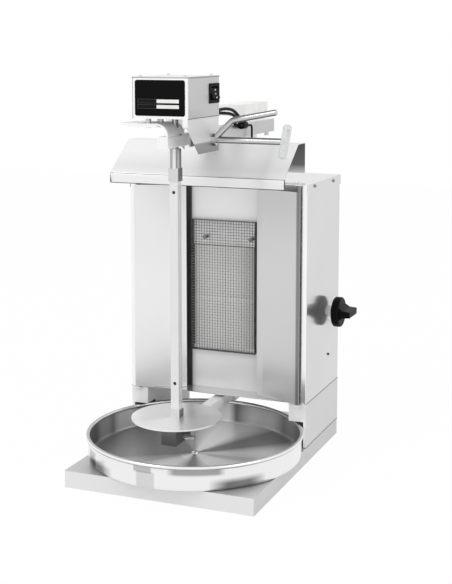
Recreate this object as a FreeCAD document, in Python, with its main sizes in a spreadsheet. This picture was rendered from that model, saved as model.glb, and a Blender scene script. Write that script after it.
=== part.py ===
import FreeCAD, Part
import Sketcher
import math
import os

# Gas doner kebab grill. X runs to the right of a cook who faces it, Y to the back, Z up.
# The origin is the middle of the base's underside. All sizes are in millimetres and degrees.

Vector = FreeCAD.Vector
Rotation = FreeCAD.Rotation

SIZES = {
    # sheet metal and fits
    "skin": 1.5,
    "fit": 0.2,
    "body_gap": 0.3,
    "bearing_fit": 0.05,
    "fold_radius": 2.0,
    # base tray
    "base_width": 470.0,
    "base_depth": 620.0,
    "base_height": 40.0,
    "base_corner": 3.0,
    "base_plate": 2.0,
    # legs and casing
    "casing_depth": 265.0,
    "leg_width": 44.0,
    "leg_height": 110.0,
    "casing_height": 538.0,
    "front_flange": 14.0,
    "rear_flange": 15.0,
    "roof_flange": 25.0,
    "vent_length": 80.0,
    "vent_height": 7.0,
    "vent_pitch": 24.0,
    "vent_rise": 72.0,
    "vent_offset": 64.0,
    "vent_rows": 6,
    "roof_screw_front": 50.0,
    "roof_screw_rear": 202.0,
    "roof_screw_front_drop": 7.0,
    "roof_screw_rear_drop": 10.0,
    # drip pan
    "pan_setback": 220.0,
    "pan_wall_radius": 256.0,
    "pan_sheet": 1.2,
    "pan_corner": 9.0,
    "pan_rim_height": 56.0,
    "pan_bead": 4.8,
    "pan_bead_shift": 0.4,
    "pan_dish": 1.0,
    "pan_dish_radius": 34.0,
    "pan_dish_slope": 6.0,
    # hood
    "hood_inset": 13.0,
    "hood_sheet": 1.2,
    "hood_lip_forward": 129.0,
    "hood_bend_forward": 133.0,
    "hood_top_forward": 33.0,
    "hood_back": 17.0,
    "hood_foot": 14.0,
    "hood_lip_rise": 2.0,
    "hood_bend_rise": 25.0,
    "hood_bend_radius": 7.0,
    "hood_rise": 99.0,
    "hood_slot_width": 60.0,
    "hood_slot_low": 2.0,
    "hood_slot_high": 27.0,
    # burner
    "burner_setback": 55.0,
    "window_width": 172.0,
    "window_low": 111.0,
    "window_high": 370.0,
    "tile_width": 92.0,
    "tile_height": 132.0,
    "tile_depth": 13.0,
    "tile_joint": 0.6,
    "burner_box_depth": 62.0,
    "guard_low": 100.0,
    "guard_high": 434.0,
    "guard_depth": 14.0,
    "guard_sheet": 1.0,
    "guard_border": 5.0,
    "guard_hole": 10.0,
    "guard_bar": 3.5,
    "guard_bolt_rise": 21.0,
    "guard_bolt_left": 48.0,
    "guard_bolt_right": 75.0,
    "mixer_radius": 15.0,
    "mixer_flare": 6.0,
    "injector_radius": 7.0,
    "injector_length": 16.0,
    "injector_bore": 1.5,
    "feed_run": 23.5,
    "gas_pipe_radius": 4.0,
    "gas_pipe_bend": 16.0,
    "supply_radius": 6.0,
    # gas valve and knob
    "valve_setback": 540.0,
    "valve_rise": 195.0,
    "valve_size": 36.0,
    "gas_inset": 40.0,
    "valve_neck_radius": 7.0,
    "valve_neck_reach": 10.0,
    "valve_nut_width": 24.0,
    "valve_nut_depth": 7.0,
    "spindle_radius": 4.0,
    "spindle_depth": 20.0,
    "spark_hole_radius": 2.4,
    "spark_hole_forward": 10.0,
    "spark_hole_drop": 21.0,
    "inlet_radius": 10.48,
    "inlet_reach": 20.0,
    "inlet_nut_width": 27.0,
    "inlet_nut_depth": 6.0,
    "knob_gap": 14.0,
    "knob_radius": 38.0,
    "knob_base": 20.0,
    "knob_edge": 4.0,
    "knob_chamfer": 3.0,
    "knob_grip_reach": 29.0,
    "knob_grip_root": 17.0,
    "knob_grip_waist": 9.0,
    "knob_grip_tip": 7.5,
    "knob_waist_reach": 10.0,
    "knob_grip_length": 66.0,
    "knob_socket": 14.0,
    "knob_push": 3.5,
    # splash wings
    "wing_sheet": 1.2,
    "wing_inset": 16.0,
    "wing_inner": 115.0,
    "wing_return": 95.0,
    "wing_outer_forward": 13.0,
    "wing_inner_back": 20.5,
    "wing_return_back": 32.0,
    "wing_rise": 2.0,
    "wing_drop": 17.0,
    "knuckle_radius": 3.6,
    "pin_radius": 3.0,
    "lug_sheet": 3.0,
    "lug_width": 18.0,
    "pin_top": 8.0,
    # arms and their guides
    "arm_width": 26.0,
    "arm_wall": 3.0,
    "arm_corner": 2.0,
    "arm_rise": 116.0,
    "arm_front": 46.0,
    "arm_length": 564.0,
    "slide_fit": 0.3,
    "guide_wall": 3.7,
    "guide_front": 225.0,
    "guide_spare": 112.0,
    "tongue_length": 65.0,
    "tongue_top": 12.0,
    "end_cap": 4.0,
    "stop_bolt_inset": 13.0,
    "stop_bolt_radius": 4.0,
    "stop_bolt_head": 11.0,
    "stop_bolt_width": 12.0,
    "post_width": 30.0,
    "post_wall": 2.0,
    "post_back": 170.0,
    "lower_arm_rise": 90.0,
    "lower_arm_length": 360.0,
    "lower_guide_length": 170.0,
    "lower_guide_back": 130.0,
    "lower_guide_plate": 60.0,
    # spit
    "spit_setback": 114.0,
    "spit_side": 20.0,
    "spit_wall": 2.0,
    "spit_fit": 0.15,
    "socket_side": 24.0,
    "socket_drop": 91.0,
    "socket_height": 30.0,
    "socket_web": 8.0,
    "hub_radius": 13.5,
    "shaft_radius": 7.5,
    "shaft_reach": 30.5,
    "collar_rise": 18.0,
    "disc_rise": 7.0,
    "disc_radius": 105.0,
    "disc_thickness": 4.0,
    "disc_hub_radius": 15.0,
    "spit_pin_radius": 7.0,
    "spit_pin_depth": 34.0,
    "spit_hole_radius": 4.0,
    "spit_hole_rise": 80.0,
    "spit_hole_drop": 25.0,
    "bush_wall": 3.5,
    "bush_flange": 2.0,
    "bush_flange_wall": 7.5,
    "block_width": 38.0,
    "block_front": 70.0,
    "block_length": 80.0,
    "block_drop": 23.0,
    "block_rise": 28.0,
    "block_bolt_radius": 6.0,
    "block_bolt_reach": 26.0,
    "block_bolt_drop": 12.0,
    "block_bolt_grip": 8.0,
    # console and motor
    "shelf_left": 105.0,
    "shelf_depth": 89.0,
    "shelf_sheet": 4.0,
    "shelf_rise": 29.0,
    "shelf_lip": 9.0,
    "shelf_bevel": 17.0,
    "arch_radius": 27.0,
    "motor_box_width": 135.0,
    "motor_box_front": 34.0,
    "motor_box_depth": 176.0,
    "motor_box_gap": 11.5,
    "motor_box_height": 89.5,
    "lid_sheet": 2.0,
    "lid_overhang": 1.0,
    "spacer_radius": 4.0,
    "spacer_nut": 6.5,
    "spacer_room": 2.0,
    "spacer_inset_left": 27.0,
    "spacer_inset_right": 24.0,
    "spacer_inset_front": 26.0,
    "spacer_inset_back": 86.0,
    "screw_head_radius": 5.0,
    "screw_head_height": 3.5,
    "screw_head_crown": 2.6,
    "screw_radius": 2.0,
    "screw_length": 6.0,
    "screw_inset": 14.0,
    "label_width": 120.0,
    "label_inset_low": 6.0,
    "label_inset_high": 5.0,
    "label_sheet": 0.8,
    "label_corner": 5.0,
    "gearbox_width": 74.0,
    "gearbox_depth": 96.0,
    "gearbox_height": 36.0,
    "gearbox_shift": 10.0,
    "gearbox_foot": 6.0,
    "motor_radius": 27.0,
    "motor_height": 42.0,
    "motor_offset": 18.0,
    "bracket_sheet": 3.0,
    "bracket_inset": 1.5,
    "bracket_drop": 27.0,
    "bracket_lip": 12.0,
    "bracket_lip_drop": 18.5,
    "bracket_slope": 65.0,
    "bracket_left_drop": 32.5,
    "bracket_room": 3.0,
    "switch_front": 150.0,
    "switch_width": 56.0,
    "switch_rise": 29.5,
    "switch_height": 45.0,
    "bezel_sheet": 2.5,
    "bezel_border": 7.0,
    "switch_depth": 19.0,
    "switch_wall": 1.5,
    "trunnion_radius": 1.5,
    "rocker_reach": 5.0,
    "rocker_gap": 1.4,
    "rocker_heel": 7.0,
    "rocker_slope": 2.0,
    # clamp screw and its handles
    "clamp_setback": 176.0,
    "clamp_radius": 5.0,
    "clamp_gap": 1.0,
    "clamp_nut_length": 12.0,
    "clamp_head_length": 9.0,
    "clamp_head_width": 24.0,
    "rod_radius": 7.5,
    "rod_end": 238.0,
    "grip_radius": 10.0,
    "grip_rounding": 7.5,
    "grip_length": 78.0,
    "grip_centre": 239.5,
    "grip_lean": 10.0,
    "lever_radius": 7.0,
    "lever_root": 72.5,
    "lever_root_rise": 5.0,
    "lever_bend": 114.0,
    "lever_tip": 219.0,
    "lever_bend_rise": 45.0,
    "lever_tip_rise": 65.0,
    "lever_bend_radius": 22.0,
    # wiring on the guide
    "box_front": 409.0,
    "box_length": 226.0,
    "box_half_width": 30.0,
    "box_rise": 23.0,
    "box_height": 27.0,
    "box_wall": 2.0,
    "bridge_front": 500.0,
    "bridge_length": 80.0,
    "bridge_half_width": 15.0,
    "exit_inset": 14.0,
    "exit_rise": 12.0,
    "exit_spacing": 16.0,
    "exit_drop": 4.0,
    "arch_step": 36.0,
    "outer_in_1": 3.5,
    "outer_in_2": 6.5,
    "outer_in_3": 9.8,
    "outer_in_4": 13.3,
    "outer_in_5": 16.5,
    "outer_up_1": -2.5,
    "outer_up_2": -1.3,
    "outer_up_3": -2.6,
    "outer_up_4": -5.9,
    "outer_up_5": -14.5,
    "outer_fall": 216.0,
    "outer_fall_in": 19.5,
    "outer_fall_rise": 19.0,
    "outer_turn": 219.0,
    "inner_in_1": 0.5,
    "inner_in_2": 1.2,
    "inner_in_3": 1.7,
    "inner_in_4": 2.3,
    "inner_in_5": 2.9,
    "inner_up_1": -3.5,
    "inner_up_2": -7.0,
    "inner_up_3": -9.0,
    "inner_up_4": -12.0,
    "inner_up_5": -18.5,
    "inner_fall": 200.0,
    "inner_fall_in": 8.5,
    "inner_fall_rise": 15.0,
    "inner_turn": 206.0,
    "gland_setback": 463.0,
    "gland_radius": 9.5,
    "gland_length": 28.0,
    "gland_rise": 15.0,
    "gland_spread": 4.2,
    "gland_saddle": 6.0,
    "cable_radius": 3.8,
    "lead_radius": 2.6,
    "lead_drop": 526.0,
    "lead_side": 27.5,
    "lead_rise": 12.0,
    "lead_bend": 10.0,
    "lead_step": 10.0,
    "lead_inside": 4.0,
}

doc = FreeCAD.newDocument("KebabGrill")
sheet = doc.addObject("Spreadsheet::Sheet", "Sizes")


class Size:
    """A length or an angle, kept both as a number and as an expression on the sheet."""

    def __init__(self, number, text):
        self.number = float(number)
        self.text = text

    def __add__(self, other):
        other = as_size(other)
        return Size(self.number + other.number, f"({self.text} + {other.text})")

    def __sub__(self, other):
        other = as_size(other)
        return Size(self.number - other.number, f"({self.text} - {other.text})")

    def __mul__(self, other):
        other = as_size(other)
        return Size(self.number * other.number, f"({self.text} * {other.text})")

    def __truediv__(self, other):
        other = as_size(other)
        return Size(self.number / other.number, f"({self.text} / {other.text})")

    def __radd__(self, other):
        return as_size(other) + self

    def __rsub__(self, other):
        return as_size(other) - self

    def __rmul__(self, other):
        return as_size(other) * self

    def __neg__(self):
        return Size(-self.number, f"(0 - {self.text})")


class Sizes:
    """The sheet's cells, each under its alias."""


def as_size(amount):
    if isinstance(amount, Size):
        return amount
    return Size(amount, repr(float(amount)))


def fill_sheet():
    cells = Sizes()
    for row, (alias, number) in enumerate(SIZES.items(), start=1):
        sheet.set(f"A{row}", alias)
        sheet.set(f"B{row}", str(number))
        sheet.setAlias(f"B{row}", alias)
        setattr(cells, alias, Size(number, f"Sizes.{alias}"))
    doc.recompute()
    return cells


s = fill_sheet()
nodes = []

TURN = {
    "x": Rotation(Vector(0, 1, 0), 90),
    "y": Rotation(Vector(1, 0, 0), -90),
    "z": Rotation(),
}
# Sketch planes: where the drawing's own axes point, and which way it is extruded.
PLANE_ROLE = {"XY": "XY_Plane", "XZ": "XZ_Plane", "YZ": "YZ_Plane"}
OTHER_AXES = {"x": ("y", "z"), "y": ("x", "z"), "z": ("x", "y")}


def bind(item, prop, amount):
    item.setExpression(prop, as_size(amount).text)


def node(label, item):
    """Names a finished sub-part and puts it on the list that is written out."""
    item.Label = label
    nodes.append(item)
    return item


def box(x, y, z):
    """A block from (low, high) along each axis."""
    item = doc.addObject("Part::Box", "Block")
    for axis, prop, (low, high) in zip("xyz", ("Length", "Width", "Height"), (x, y, z)):
        bind(item, f"Placement.Base.{axis}", low)
        bind(item, prop, as_size(high) - low)
    return item


def set_along(item, axis, at, low):
    """Stands a primitive on an axis: at gives its place on the two other axes."""
    item.Placement = FreeCAD.Placement(Vector(), TURN[axis])
    bind(item, f"Placement.Base.{axis}", low)
    for other, amount in zip(OTHER_AXES[axis], at):
        bind(item, f"Placement.Base.{other}", amount)


def rod(axis, at, span, radius):
    item = doc.addObject("Part::Cylinder", "Rod")
    set_along(item, axis, at, span[0])
    bind(item, "Height", as_size(span[1]) - span[0])
    bind(item, "Radius", radius)
    return item


def cone(axis, at, span, start_radius, end_radius):
    item = doc.addObject("Part::Cone", "Cone")
    set_along(item, axis, at, span[0])
    bind(item, "Height", as_size(span[1]) - span[0])
    bind(item, "Radius1", start_radius)
    bind(item, "Radius2", end_radius)
    return item


def hexagon(axis, at, span, flats):
    """A hexagonal bar, sized across its flats."""
    item = doc.addObject("Part::Prism", "Hexagon")
    item.Polygon = 6
    set_along(item, axis, at, span[0])
    bind(item, "Height", as_size(span[1]) - span[0])
    bind(item, "Circumradius", as_size(flats) * (0.5 / math.cos(math.pi / 6)))
    return item


def torus(at, height, ring_radius, bead_radius):
    item = doc.addObject("Part::Torus", "Ring")
    set_along(item, "z", at, height)
    bind(item, "Radius1", ring_radius)
    bind(item, "Radius2", bead_radius)
    return item


def join(*pieces):
    item = doc.addObject("Part::MultiFuse", "Joined")
    item.Shapes = list(pieces)
    item.Refine = True
    return item


def cut(base, *tools):
    item = doc.addObject("Part::Cut", "Trimmed")
    item.Base = base
    item.Tool = tools[0] if len(tools) == 1 else join(*tools)
    return item


def overlap(base, tool):
    item = doc.addObject("Part::Common", "Overlap")
    item.Base = base
    item.Tool = tool
    return item


def group(*pieces):
    """Several separate solids under one name."""
    item = doc.addObject("Part::Compound", "Group")
    item.Links = list(pieces)
    return item


def corner(before, here, after, radius):
    """Where a rounded corner's arc starts, peaks and ends."""
    arriving = (here - before).normalize()
    leaving = (after - here).normalize()
    turn = arriving.getAngle(leaving)
    reach = radius * math.tan(turn / 2)
    inward = (leaving - arriving).normalize()
    centre = here + inward * (radius / math.cos(turn / 2))
    start = here - arriving * reach
    end = here + leaving * reach
    return start, centre - inward * radius, end


class Drawing:
    """Gathers a sketch's lines and rules, so that they are solved together once."""

    def __init__(self, sketch):
        self.sketch = sketch
        self.rules = []
        self.amounts = {}

    def add(self, shape, helper=False):
        return self.sketch.addGeometry(shape, helper)

    def rule(self, *words, amount=None):
        if amount is not None:
            self.amounts[len(self.rules)] = amount.text
            words = words + (amount.number,)
        self.rules.append(Sketcher.Constraint(*words))

    def pin(self, geometry, position, point):
        """Ties one point to its place, measured from the sketch's origin."""
        self.rule("DistanceX", -1, 1, geometry, position, amount=as_size(point[0]))
        self.rule("DistanceY", -1, 1, geometry, position, amount=as_size(point[1]))

    def finish(self):
        self.sketch.addConstraint(self.rules)
        for index, text in self.amounts.items():
            self.sketch.setExpression(f"Constraints[{index}]", text)


def draw_path(drawing, points, closed):
    """Lines through (x, y) points; a third value rounds that corner."""
    spots = [Vector(as_size(p[0]).number, as_size(p[1]).number, 0) for p in points]
    count = len(points)
    starts = list(spots)
    ends = list(spots)
    peaks = {}
    for i, point in enumerate(points):
        if len(point) == 3:
            bounds = corner(spots[i - 1], spots[i], spots[(i + 1) % count], as_size(point[2]).number)
            ends[i], peaks[i], starts[i] = bounds
    runs = range(count if closed else count - 1)
    lines = [drawing.add(Part.LineSegment(starts[i], ends[(i + 1) % count])) for i in runs]
    for i, point in enumerate(points):
        if i not in peaks:
            last_end = not closed and i == count - 1
            drawing.pin(lines[i - 1] if last_end else lines[i], 2 if last_end else 1, point)
            if closed or 0 < i < count - 1:
                drawing.rule("Coincident", lines[i - 1], 2, lines[i], 1)
            continue
        clockwise = (peaks[i] - ends[i]).cross(starts[i] - peaks[i]).z < 0
        first, last = (starts[i], ends[i]) if clockwise else (ends[i], starts[i])
        arc = drawing.add(Part.Arc(first, peaks[i], last))
        near, far = (2, 1) if clockwise else (1, 2)
        mark = drawing.add(Part.Point(spots[i]), True)
        drawing.rule("Tangent", lines[i - 1], 2, arc, near)
        drawing.rule("Tangent", lines[i], 1, arc, far)
        drawing.rule("PointOnObject", mark, 1, lines[i - 1])
        drawing.rule("PointOnObject", mark, 1, lines[i])
        drawing.rule("Radius", arc, amount=as_size(point[2]))
        drawing.pin(mark, 1, point)


def draw_circle(drawing, centre, radius):
    spot = Vector(as_size(centre[0]).number, as_size(centre[1]).number, 0)
    circle = drawing.add(Part.Circle(spot, Vector(0, 0, 1), as_size(radius).number))
    drawing.rule("Radius", circle, amount=as_size(radius))
    drawing.pin(circle, 3, centre)


def rectangle(x, y, radius=None):
    """The corners of a rectangle from (low, high) pairs, rounded if a radius is given."""
    rounding = () if radius is None else (radius,)
    return [(x[0], y[0]) + rounding, (x[1], y[0]) + rounding,
            (x[1], y[1]) + rounding, (x[0], y[1]) + rounding]


def origin_feature(body, role):
    return next(item for item in body.Origin.OriginFeatures if item.Role == role)


def body_sketch(body, plane, offset):
    sketch = body.newObject("Sketcher::SketchObject", "Outline")
    sketch.AttachmentSupport = (origin_feature(body, PLANE_ROLE[plane]), "")
    sketch.MapMode = "FlatFace"
    bind(sketch, "AttachmentOffset.Base.z", offset)
    return sketch


def extruded(plane, span, *loops, circles=()):
    """A body with one pad: outer loop first, then its holes, from low to high."""
    body = doc.addObject("PartDesign::Body", "Body")
    offset = -as_size(span[1]) if plane == "XZ" else as_size(span[0])
    sketch = body_sketch(body, plane, offset)
    drawing = Drawing(sketch)
    for points in loops:
        draw_path(drawing, points, closed=True)
    for centre, radius in circles:
        draw_circle(drawing, centre, radius)
    drawing.finish()
    pad = body.newObject("PartDesign::Pad", "Pad")
    pad.Profile = sketch
    bind(pad, "Length", as_size(span[1]) - span[0])
    body.Tip = pad
    return body


def turned(axis, at, low, points):
    """A body turned about an axis from a half section of (radius, distance) points."""
    body = doc.addObject("PartDesign::Body", "Body")
    set_along(body, axis, at, low)
    sketch = body_sketch(body, "XZ", 0)
    drawing = Drawing(sketch)
    draw_path(drawing, points, closed=True)
    drawing.finish()
    spin = body.newObject("PartDesign::Revolution", "Revolution")
    spin.Profile = sketch
    spin.ReferenceAxis = (sketch, ["V_Axis"])
    spin.Angle = 360
    body.Tip = spin
    return body


SHEET_PLANE = {
    "XY": (Rotation(), Vector(0, 0, 1), "z"),
    "XZ": (Rotation(Vector(1, 0, 0), 90), Vector(0, 1, 0), "y"),
    "YZ": (Rotation(0.5, 0.5, 0.5, 0.5), Vector(1, 0, 0), "x"),
}


def bent(plane, span, points, thickness):
    """Folded sheet: an open line of its outer face, thickened and drawn out along a span."""
    turn, direction, axis = SHEET_PLANE[plane]
    sketch = doc.addObject("Sketcher::SketchObject", "FoldLine")
    sketch.Placement = FreeCAD.Placement(Vector(), turn)
    bind(sketch, f"Placement.Base.{axis}", span[0])
    drawing = Drawing(sketch)
    draw_path(drawing, points, closed=False)
    drawing.finish()
    strip = doc.addObject("Part::Offset2D", "Strip")
    strip.Source = sketch
    strip.Mode = "Skin"
    strip.Fill = True
    bind(strip, "Value", thickness)
    item = doc.addObject("Part::Extrusion", "Folded")
    item.Base = strip
    item.DirMode = "Custom"
    item.Dir = direction
    item.Solid = True
    bind(item, "LengthFwd", as_size(span[1]) - span[0])
    return item


def pipe_path(points, bends):
    """Straight runs joined by tangent arcs, and the length of the whole path."""
    edges = []
    here = points[0]
    for i in range(1, len(points) - 1):
        start, peak, end = corner(points[i - 1], points[i], points[i + 1], bends[i - 1])
        edges.append(Part.LineSegment(here, start).toShape())
        edges.append(Part.Arc(start, peak, end).toShape())
        here = end
    edges.append(Part.LineSegment(here, points[-1]).toShape())
    return Part.Wire(edges)


def pipe(name, points, radius, bends):
    """A round pipe or cable along a path; its sizes are read from the sheet's numbers."""
    spots = [Vector(*(as_size(amount).number for amount in point)) for point in points]
    path = pipe_path(spots, bends)
    ring = Part.Circle(spots[0], (spots[1] - spots[0]).normalize(), radius.number)
    solid = path.makePipeShell([Part.Wire([ring.toShape()])], True, False)
    expected = math.pi * radius.number ** 2 * path.Length
    radii = ", ".join(f"{bend:.0f}" for bend in bends)
    print(f"{name}: length {path.Length:.1f}, volume {solid.Volume / expected:.4f} of section x length")
    print(f"{name}: bend radii {radii}, pipe radius {radius.number:.1f}")
    item = doc.addObject("Part::Feature", "Pipe")
    item.Shape = solid
    return item


def cable_bends(points):
    """Each bend of a cable as large as its two runs allow."""
    spots = [Vector(*(as_size(amount).number for amount in point)) for point in points]
    bends = []
    for before, here, after in zip(spots, spots[1:], spots[2:]):
        turn = (here - before).getAngle(after - here)
        shorter = min((here - before).Length, (after - here).Length)
        bends.append(0.45 * shorter / math.tan(turn / 2))
    return bends


def across(sign, low, high):
    """A (low, high) pair on the right side, or its mirror image on the left."""
    return (low, high) if sign > 0 else (-as_size(high), -as_size(low))


def mirror_x(sign, points):
    return [(sign * as_size(point[0]),) + tuple(point[1:]) for point in points]


SIDES = {"left": -1, "right": 1}

# Places that several sub-parts share.
side = s.base_width / 2
front = -s.base_depth / 2
rear = s.base_depth / 2
casing_front = rear - s.casing_depth
casing_low = s.base_height + s.leg_height
roof = casing_low + s.casing_height
inside = side - s.skin
panel_y = casing_front + s.burner_setback
spit_y = front + s.spit_setback
pan_y = front + s.pan_setback
valve_y = front + s.valve_setback
clamp_y = front + s.clamp_setback
roof_screw_spots = [(casing_front + s.roof_screw_front, roof - s.roof_screw_front_drop),
                    (casing_front + s.roof_screw_rear, roof - s.roof_screw_rear_drop)]
gas_x = side - s.gas_inset
valve_z = casing_low + s.valve_rise
arm_z = roof + s.arm_rise
arm_top = arm_z + s.arm_width / 2
shelf_top = arm_top + s.shelf_rise
motor_low = shelf_top + s.motor_box_gap
motor_high = motor_low + s.motor_box_height
bracket_face = s.motor_box_width / 2 - s.bracket_inset
socket_low = arm_z - s.socket_drop
lower_z = s.base_height + s.lower_arm_rise
block_low = lower_z - s.block_drop
block_high = lower_z + s.block_rise
disc_top = block_high + s.disc_rise


def base():
    half = s.base_width / 2
    shell = extruded("XY", (0, s.base_height), rectangle((-half, half), (front, rear), s.base_corner))
    hollow = box((-inside, inside), (front + s.skin, rear - s.skin), (-s.skin, s.base_height - s.skin))
    node("base_tray", cut(shell, hollow))
    edge = s.skin + s.fit
    node("base_bottom", extruded(
        "XY", (0, s.base_plate), rectangle((-half + edge, half - edge), (front + edge, rear - edge))))


def legs():
    relief_top = s.base_height + s.pan_rim_height + s.pan_bead * 2
    relief = s.pan_wall_radius + s.pan_bead * 2
    for name, sign in SIDES.items():
        outer = box(across(sign, side - s.leg_width, side), (casing_front, rear),
                    (s.base_height, casing_low))
        inner = box(across(sign, side - s.leg_width + s.skin, inside),
                    (casing_front + s.skin, rear - s.skin), (0, casing_low + s.skin))
        pan_room = rod("z", (0, pan_y), (0, relief_top), relief)
        node(f"{name}_leg", cut(outer, inner, pan_room))


def casing():
    panel_high = roof - s.skin
    spindle_hole = s.valve_neck_radius + s.fit
    screw_hole = s.screw_radius + s.fit / 2
    side_span = (side - 2 * s.skin, side + 2 * s.skin)
    for name, sign in SIDES.items():
        line = [(side - s.rear_flange, rear), (side, rear, s.fold_radius),
                (side, casing_front, s.fold_radius), (side - s.front_flange, casing_front)]
        panel = bent("XY", (casing_low, panel_high), mirror_x(sign, line), sign * s.skin)
        holes = [rod("x", spot, across(sign, *side_span), screw_hole) for spot in roof_screw_spots]
        if sign > 0:
            holes.append(rod("x", (valve_y, valve_z), side_span, spindle_hole))
            holes.append(rod("x", (valve_y - s.spark_hole_forward, valve_z - s.spark_hole_drop),
                             side_span, s.spark_hole_radius))
        node(f"{name}_side_panel", cut(panel, *holes))

    width = inside - s.fold_radius / 2
    node("casing_floor", box((-width, width), (casing_front + s.skin + s.fit, rear - s.skin - s.fit),
                             (casing_low, casing_low + s.skin)))

    rear_face = rear - s.skin
    rear_low = casing_low + s.skin
    slots = []
    for column in (-1, 1):
        for row in range(SIZES["vent_rows"]):
            centre_x = column * s.vent_offset
            low = rear_low + s.vent_rise + s.vent_pitch * row
            slots.append(rectangle((centre_x - s.vent_length / 2, centre_x + s.vent_length / 2),
                                   (low, low + s.vent_height)))
    node("rear_panel", extruded("XZ", (rear_face - s.skin, rear_face),
                                rectangle((-width, width), (rear_low, panel_high)), *slots,
                                circles=[((gas_x, valve_z), s.inlet_radius + s.fit)]))

    over = s.fit + s.skin
    cap = box((-side - over, side + over), (casing_front, rear + over), (roof - s.roof_flange, roof))
    under = box((-side - s.fit, side + s.fit), (casing_front - 1, rear + s.fit),
                (roof - s.roof_flange - 1, panel_high))
    openings = [rod("z", (s.lead_side, front + s.lead_drop), (panel_high - 1, roof + 1),
                    s.lead_radius + s.body_gap)]
    for sign in SIDES.values():
        for spot in roof_screw_spots:
            openings.append(rod("x", spot, across(sign, side, side + 2 * s.skin), screw_hole))
    node("roof_cover", cut(cap, under, *openings))

    screws = []
    for sign in SIDES.values():
        for spot in roof_screw_spots:
            face = side + over
            shank = rod("x", spot, across(sign, face - s.screw_length, face), s.screw_radius)
            low, high = across(sign, face, face + s.screw_head_height)
            wide, narrow = s.screw_head_radius, s.screw_head_crown
            radii = (wide, narrow) if sign > 0 else (narrow, wide)
            screws.append(join(shank, cone("x", spot, (low, high), *radii)))
    node("roof_screws", group(*screws))


def hood():
    half = side - s.hood_inset
    back = casing_front + s.hood_back
    top = roof + s.hood_rise
    line = [(casing_front - s.hood_lip_forward, roof + s.hood_lip_rise),
            (casing_front - s.hood_bend_forward, roof + s.hood_bend_rise, s.hood_bend_radius),
            (casing_front - s.hood_top_forward, top, s.fold_radius),
            (back, top, s.fold_radius),
            (back, roof, s.fold_radius),
            (back - s.hood_foot, roof)]
    slots = [box(across(sign, half - s.hood_slot_width, half + 1), (back - s.hood_sheet - 1, back + 1),
                 (roof + s.hood_slot_low, roof + s.hood_slot_high)) for sign in SIDES.values()]
    node("hood", cut(bent("YZ", (-half, half), line, s.hood_sheet), *slots))


def burner():
    width = inside - s.fit
    half_window = s.window_width / 2
    low = casing_low + s.window_low
    high = casing_low + s.window_high
    bolt_z = high + s.guard_bolt_rise
    bolt_spots = [(-s.guard_bolt_left, bolt_z), (s.guard_bolt_right, bolt_z)]
    bolt_hole = s.screw_radius + s.fit / 2
    node("burner_panel", extruded(
        "XZ", (panel_y, panel_y + s.skin),
        rectangle((-width, width), (casing_low + s.skin, roof - s.skin)),
        rectangle((-half_window, half_window), (low, high)),
        circles=[(spot, bolt_hole) for spot in bolt_spots]))

    middle = (low + high) / 2
    tile_front = panel_y + s.skin
    tiles = []
    for column in (-1, 1):
        for row in (-1, 1):
            x = across(column, s.tile_joint / 2, s.tile_joint / 2 + s.tile_width)
            z = across(row, s.tile_joint / 2, s.tile_joint / 2 + s.tile_height)
            tiles.append(box(x, (tile_front, tile_front + s.tile_depth), (middle + z[0], middle + z[1])))
    node("ceramic_tiles", group(*tiles))

    half_bed = s.tile_width + s.tile_joint / 2 + s.fit
    half_rise = s.tile_height + s.tile_joint / 2 + s.fit
    box_back = tile_front + s.burner_box_depth
    outer = box((-half_bed - s.skin, half_bed + s.skin), (tile_front, box_back),
                (middle - half_rise - s.skin, middle + half_rise + s.skin))
    inner = box((-half_bed, half_bed), (tile_front - 1, box_back - s.skin),
                (middle - half_rise, middle + half_rise))
    mixer_y = tile_front + s.burner_box_depth / 2
    mixer_at = (mixer_y, valve_z)
    port = rod("x", mixer_at, (half_bed - 1, half_bed + s.skin + 1), s.mixer_radius + s.fit)
    node("burner_box", cut(outer, inner, port))

    elbow_x = gas_x - s.valve_size / 4
    mixer_end = elbow_x - s.feed_run - s.injector_length / 2
    bore = s.mixer_radius - s.skin
    tube = join(rod("x", mixer_at, (half_bed, mixer_end), s.mixer_radius),
                cone("x", mixer_at, (mixer_end, mixer_end + s.mixer_flare),
                     s.mixer_radius, s.mixer_radius + s.mixer_flare))
    passage = join(rod("x", mixer_at, (half_bed - 1, mixer_end), bore),
                   cone("x", mixer_at, (mixer_end, mixer_end + s.mixer_flare),
                        bore, bore + s.mixer_flare))
    spider = box((mixer_end - s.skin, mixer_end),
                 (mixer_y - s.mixer_radius, mixer_y + s.mixer_radius),
                 (valve_z - s.injector_radius - s.skin, valve_z + s.injector_radius + s.skin))
    seat = rod("x", mixer_at, (mixer_end - 2 * s.skin, mixer_end + s.skin), s.injector_radius + s.fit)
    node("mixing_tube", cut(join(cut(tube, passage), overlap(
        spider, rod("x", mixer_at, (mixer_end - 2 * s.skin, mixer_end + s.skin), s.mixer_radius))), seat))

    nozzle = mixer_end - s.injector_length / 2
    body = rod("x", mixer_at, (nozzle, nozzle + s.injector_length), s.injector_radius)
    orifice = rod("x", mixer_at, (nozzle - 1, nozzle + s.injector_length + 1), s.injector_bore)
    node("gas_injector", cut(body, orifice))

    valve_front = valve_y - s.valve_size / 2
    feed = [(nozzle + s.injector_length, mixer_y, valve_z), (elbow_x, mixer_y, valve_z),
            (elbow_x, valve_front, valve_z)]
    node("gas_pipe", pipe("gas_pipe", feed, s.gas_pipe_radius, [s.gas_pipe_bend.number]))
    guard(half_window, bolt_spots)


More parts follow.
